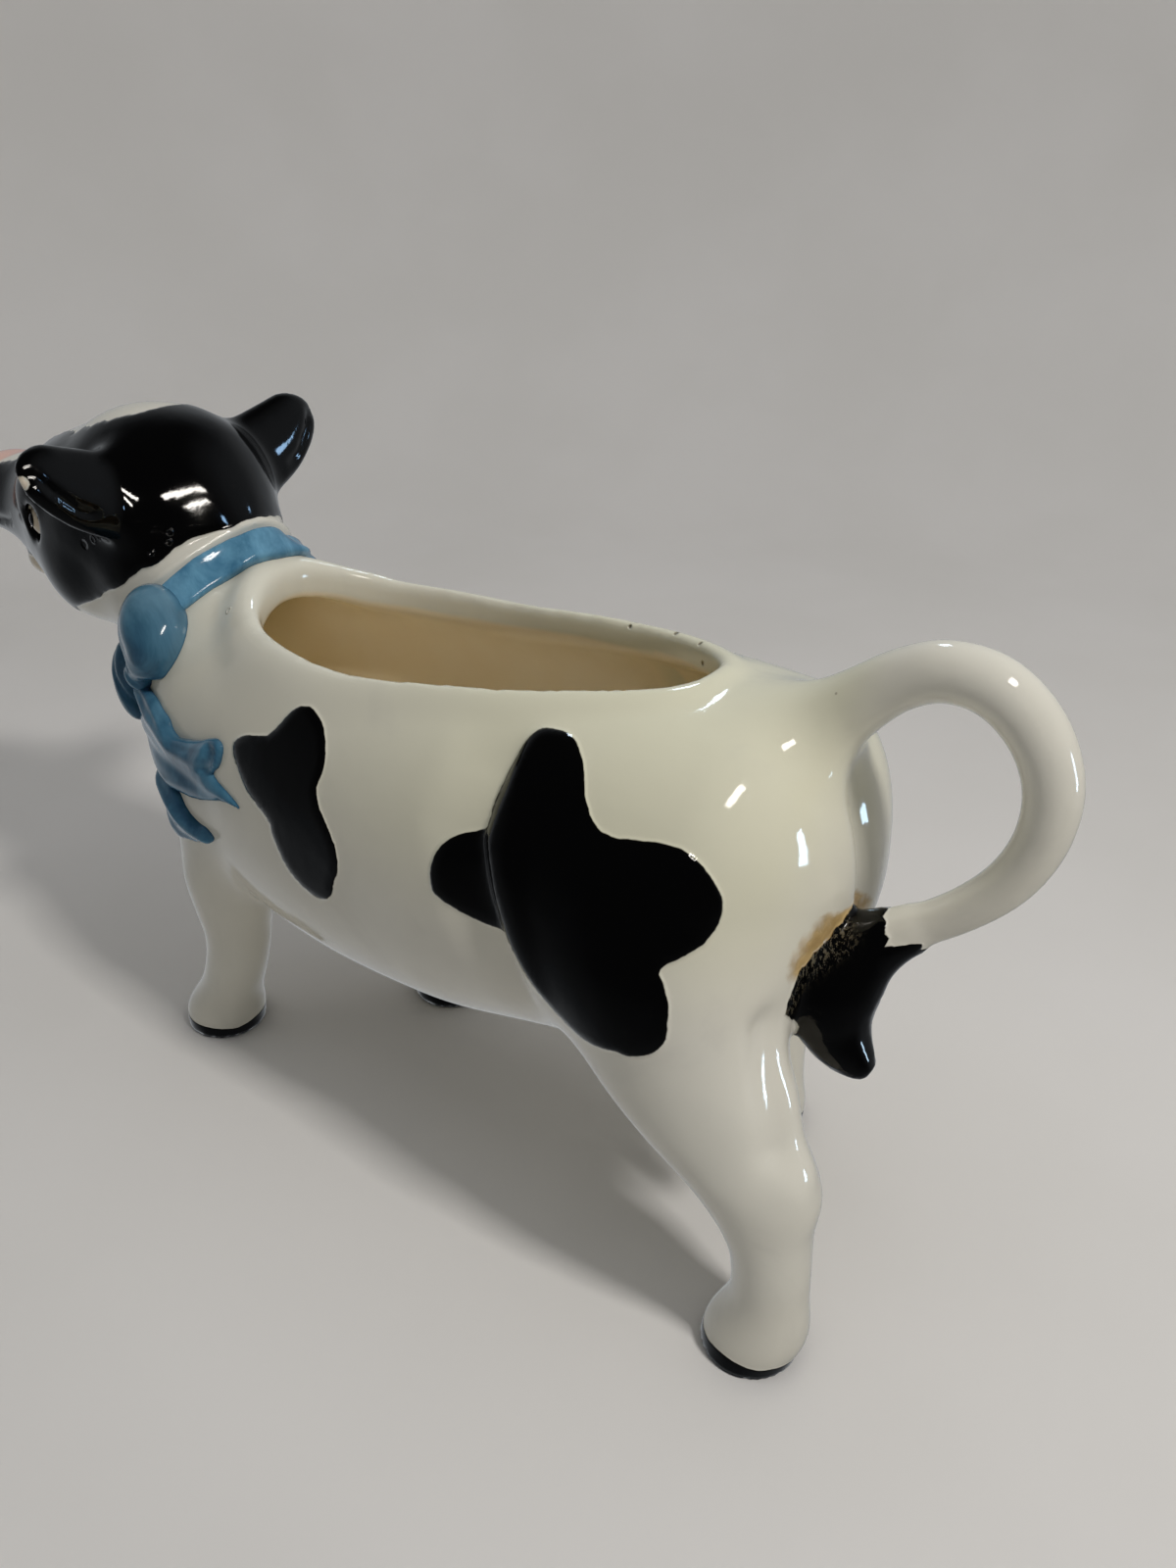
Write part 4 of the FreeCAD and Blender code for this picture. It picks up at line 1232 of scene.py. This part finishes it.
EARS = (-0.041, 0.0, 0.101)
glint(area("window", reach(14, 8, 0.5), (0.0, 0.0, 0.05), (0.045, 0.14), 0.40, (0.58, 0.80, 1.0)), body)
glint(area("far_window", reach(112, 52, 0.6), (-0.02, 0.0, 0.06), (0.06, 0.09), 0.30, (0.70, 0.86, 1.0)), body, shades=True)
glint(area("ear_window", reach(41, 13, 0.5, EARS), EARS, (0.035, 0.06), 0.10, (0.40, 0.66, 1.0)), head_obj)
glint(area("brow_window", reach(-16, 11, 0.5, EARS), EARS, (0.02, 0.035), 0.06, (0.40, 0.66, 1.0)), head_obj)
HEAD = (-0.034, -0.008, 0.101)
RUMP = (0.071, -0.014, 0.083)
glint(strip("lamp_a", reach(-38, 54, 0.65, RUMP), reach(-5, 61, 0.65, RUMP), 0.080, 1.20, (1.0, 0.95, 0.88)), body)
key = area("lamp_key", reach(-10, 50, 0.65), (-0.03, 0.0, 0.05), (0.07, 0.05), 1.60, (1.0, 0.96, 0.91))
key.visible_glossy = False
glint(strip("lamp_b", reach(-56, 20, 0.65, HEAD), reach(-16, 38, 0.65, HEAD), 0.050, 2.00, (1.0, 0.95, 0.88)), head_obj, knot_obj, band_obj)
glint(strip("lamp_c", reach(-42, 13, 0.65, HEAD), reach(-21, 26, 0.65, HEAD), 0.040, 1.20, (1.0, 0.95, 0.88)), head_obj, loop_obj, knot_obj, band_obj)
soft = area("overhead", (0.0, 0.0, 0.9), (0.0, 0.0, 0.0), (0.9, 0.9), 1.65, (1.0, 0.99, 0.97))
soft.visible_glossy = False

world = bpy.data.worlds.new("studio")
bpy.context.scene.world = world
world.use_nodes = True
wt = world.node_tree
wt.nodes.clear()
w_out = wt.nodes.new("ShaderNodeOutputWorld")
w_all, w_seen = wt.nodes.new("ShaderNodeBackground"), wt.nodes.new("ShaderNodeBackground")
w_mix, w_path = wt.nodes.new("ShaderNodeMixShader"), wt.nodes.new("ShaderNodeLightPath")
w_all.inputs[0].default_value, w_all.inputs[1].default_value = (0.94, 0.97, 1.0, 1), 0.13
w_seen.inputs[0].default_value, w_seen.inputs[1].default_value = (0.46, 0.46, 0.45, 1), 1.0
# what the gloss reflects: a dim room, brighter on the window's side
w_room, w_room_mix = wt.nodes.new("ShaderNodeBackground"), wt.nodes.new("ShaderNodeMixShader")
w_dir = wt.nodes.new("ShaderNodeTexCoord")
level = None
for az, el, lo, hi, amount in ((42, 18, 0.45, 1.0, 0.28), (135, -8, 0.15, 0.85, 0.28), (-165, -15, 0.6, 1.0, 0.10), (0, -90, 0.1, 0.8, 0.10)):
    w_dot, w_map = wt.nodes.new("ShaderNodeVectorMath"), wt.nodes.new("ShaderNodeMapRange")
    w_dot.operation = "DOT_PRODUCT"
    w_dot.inputs[1].default_value = reach(az, el, 1.0)
    w_map.interpolation_type = "SMOOTHSTEP"
    for i, v in enumerate((lo, hi, 0.0, amount)):
        w_map.inputs[1 + i].default_value = v
    wt.links.new(w_dir.outputs["Generated"], w_dot.inputs[0])
    wt.links.new(w_dot.outputs["Value"], w_map.inputs[0])
    add = wt.nodes.new("ShaderNodeMath")
    add.operation = "ADD"
    wt.links.new(w_map.outputs[0], add.inputs[0])
    if level is None:
        add.inputs[1].default_value = 0.05
    else:
        wt.links.new(level, add.inputs[1])
    level = add.outputs[0]
w_room.inputs[0].default_value = (0.92, 0.96, 1.0, 1)
wt.links.new(level, w_room.inputs[1])
wt.links.new(w_path.outputs["Is Glossy Ray"], w_room_mix.inputs[0])
wt.links.new(w_all.outputs[0], w_room_mix.inputs[1])
wt.links.new(w_room.outputs[0], w_room_mix.inputs[2])
wt.links.new(w_path.outputs["Is Camera Ray"], w_mix.inputs[0])
wt.links.new(w_room_mix.outputs[0], w_mix.inputs[1])
wt.links.new(w_seen.outputs[0], w_mix.inputs[2])
wt.links.new(w_mix.outputs[0], w_out.inputs[0])

cam_data = bpy.data.cameras.new("camera")
cam_data.sensor_width = 36.0
cam_data.sensor_fit = "AUTO"
cam_data.lens = 27.0
cam_data.clip_start, cam_data.clip_end = 0.005, 20.0
cam = bpy.data.objects.new("camera", cam_data)
bpy.context.scene.collection.objects.link(cam)
az, el, roll = math.radians(-35.5), math.radians(27.1), math.radians(-0.57)
fw = np.array([math.sin(az) * math.cos(el), math.cos(az) * math.cos(el), -math.sin(el)])
right = np.array([math.cos(az), -math.sin(az), 0.0])
up = np.cross(right, fw)
r2 = math.cos(roll) * right + math.sin(roll) * up
u2 = -math.sin(roll) * right + math.cos(roll) * up
M = Matrix([[*col] for col in np.stack([r2, u2, -fw], 1)]).to_4x4()
M.translation = Vector((0.12684, -0.12426, 0.14462))
cam.matrix_world = M
bpy.context.scene.camera = cam
view = bpy.context.scene.view_settings
view.view_transform = "Standard"
# a little toe, as a camera gives: the deepest tones go darker, the rest stay
view.use_curve_mapping = True
toe = view.curve_mapping.curves[3]
for at in ((0.012, 0.005), (0.04, 0.028), (0.10, 0.094), (0.20, 0.20)):
    toe.points.new(*at)
for pt in toe.points:
    pt.handle_type = "VECTOR"
view.curve_mapping.update()

lo, hi = cad_box
lo2, hi2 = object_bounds()
{"cad": [list(lo), list(hi)], "visual": [list(lo2), list(hi2)]}
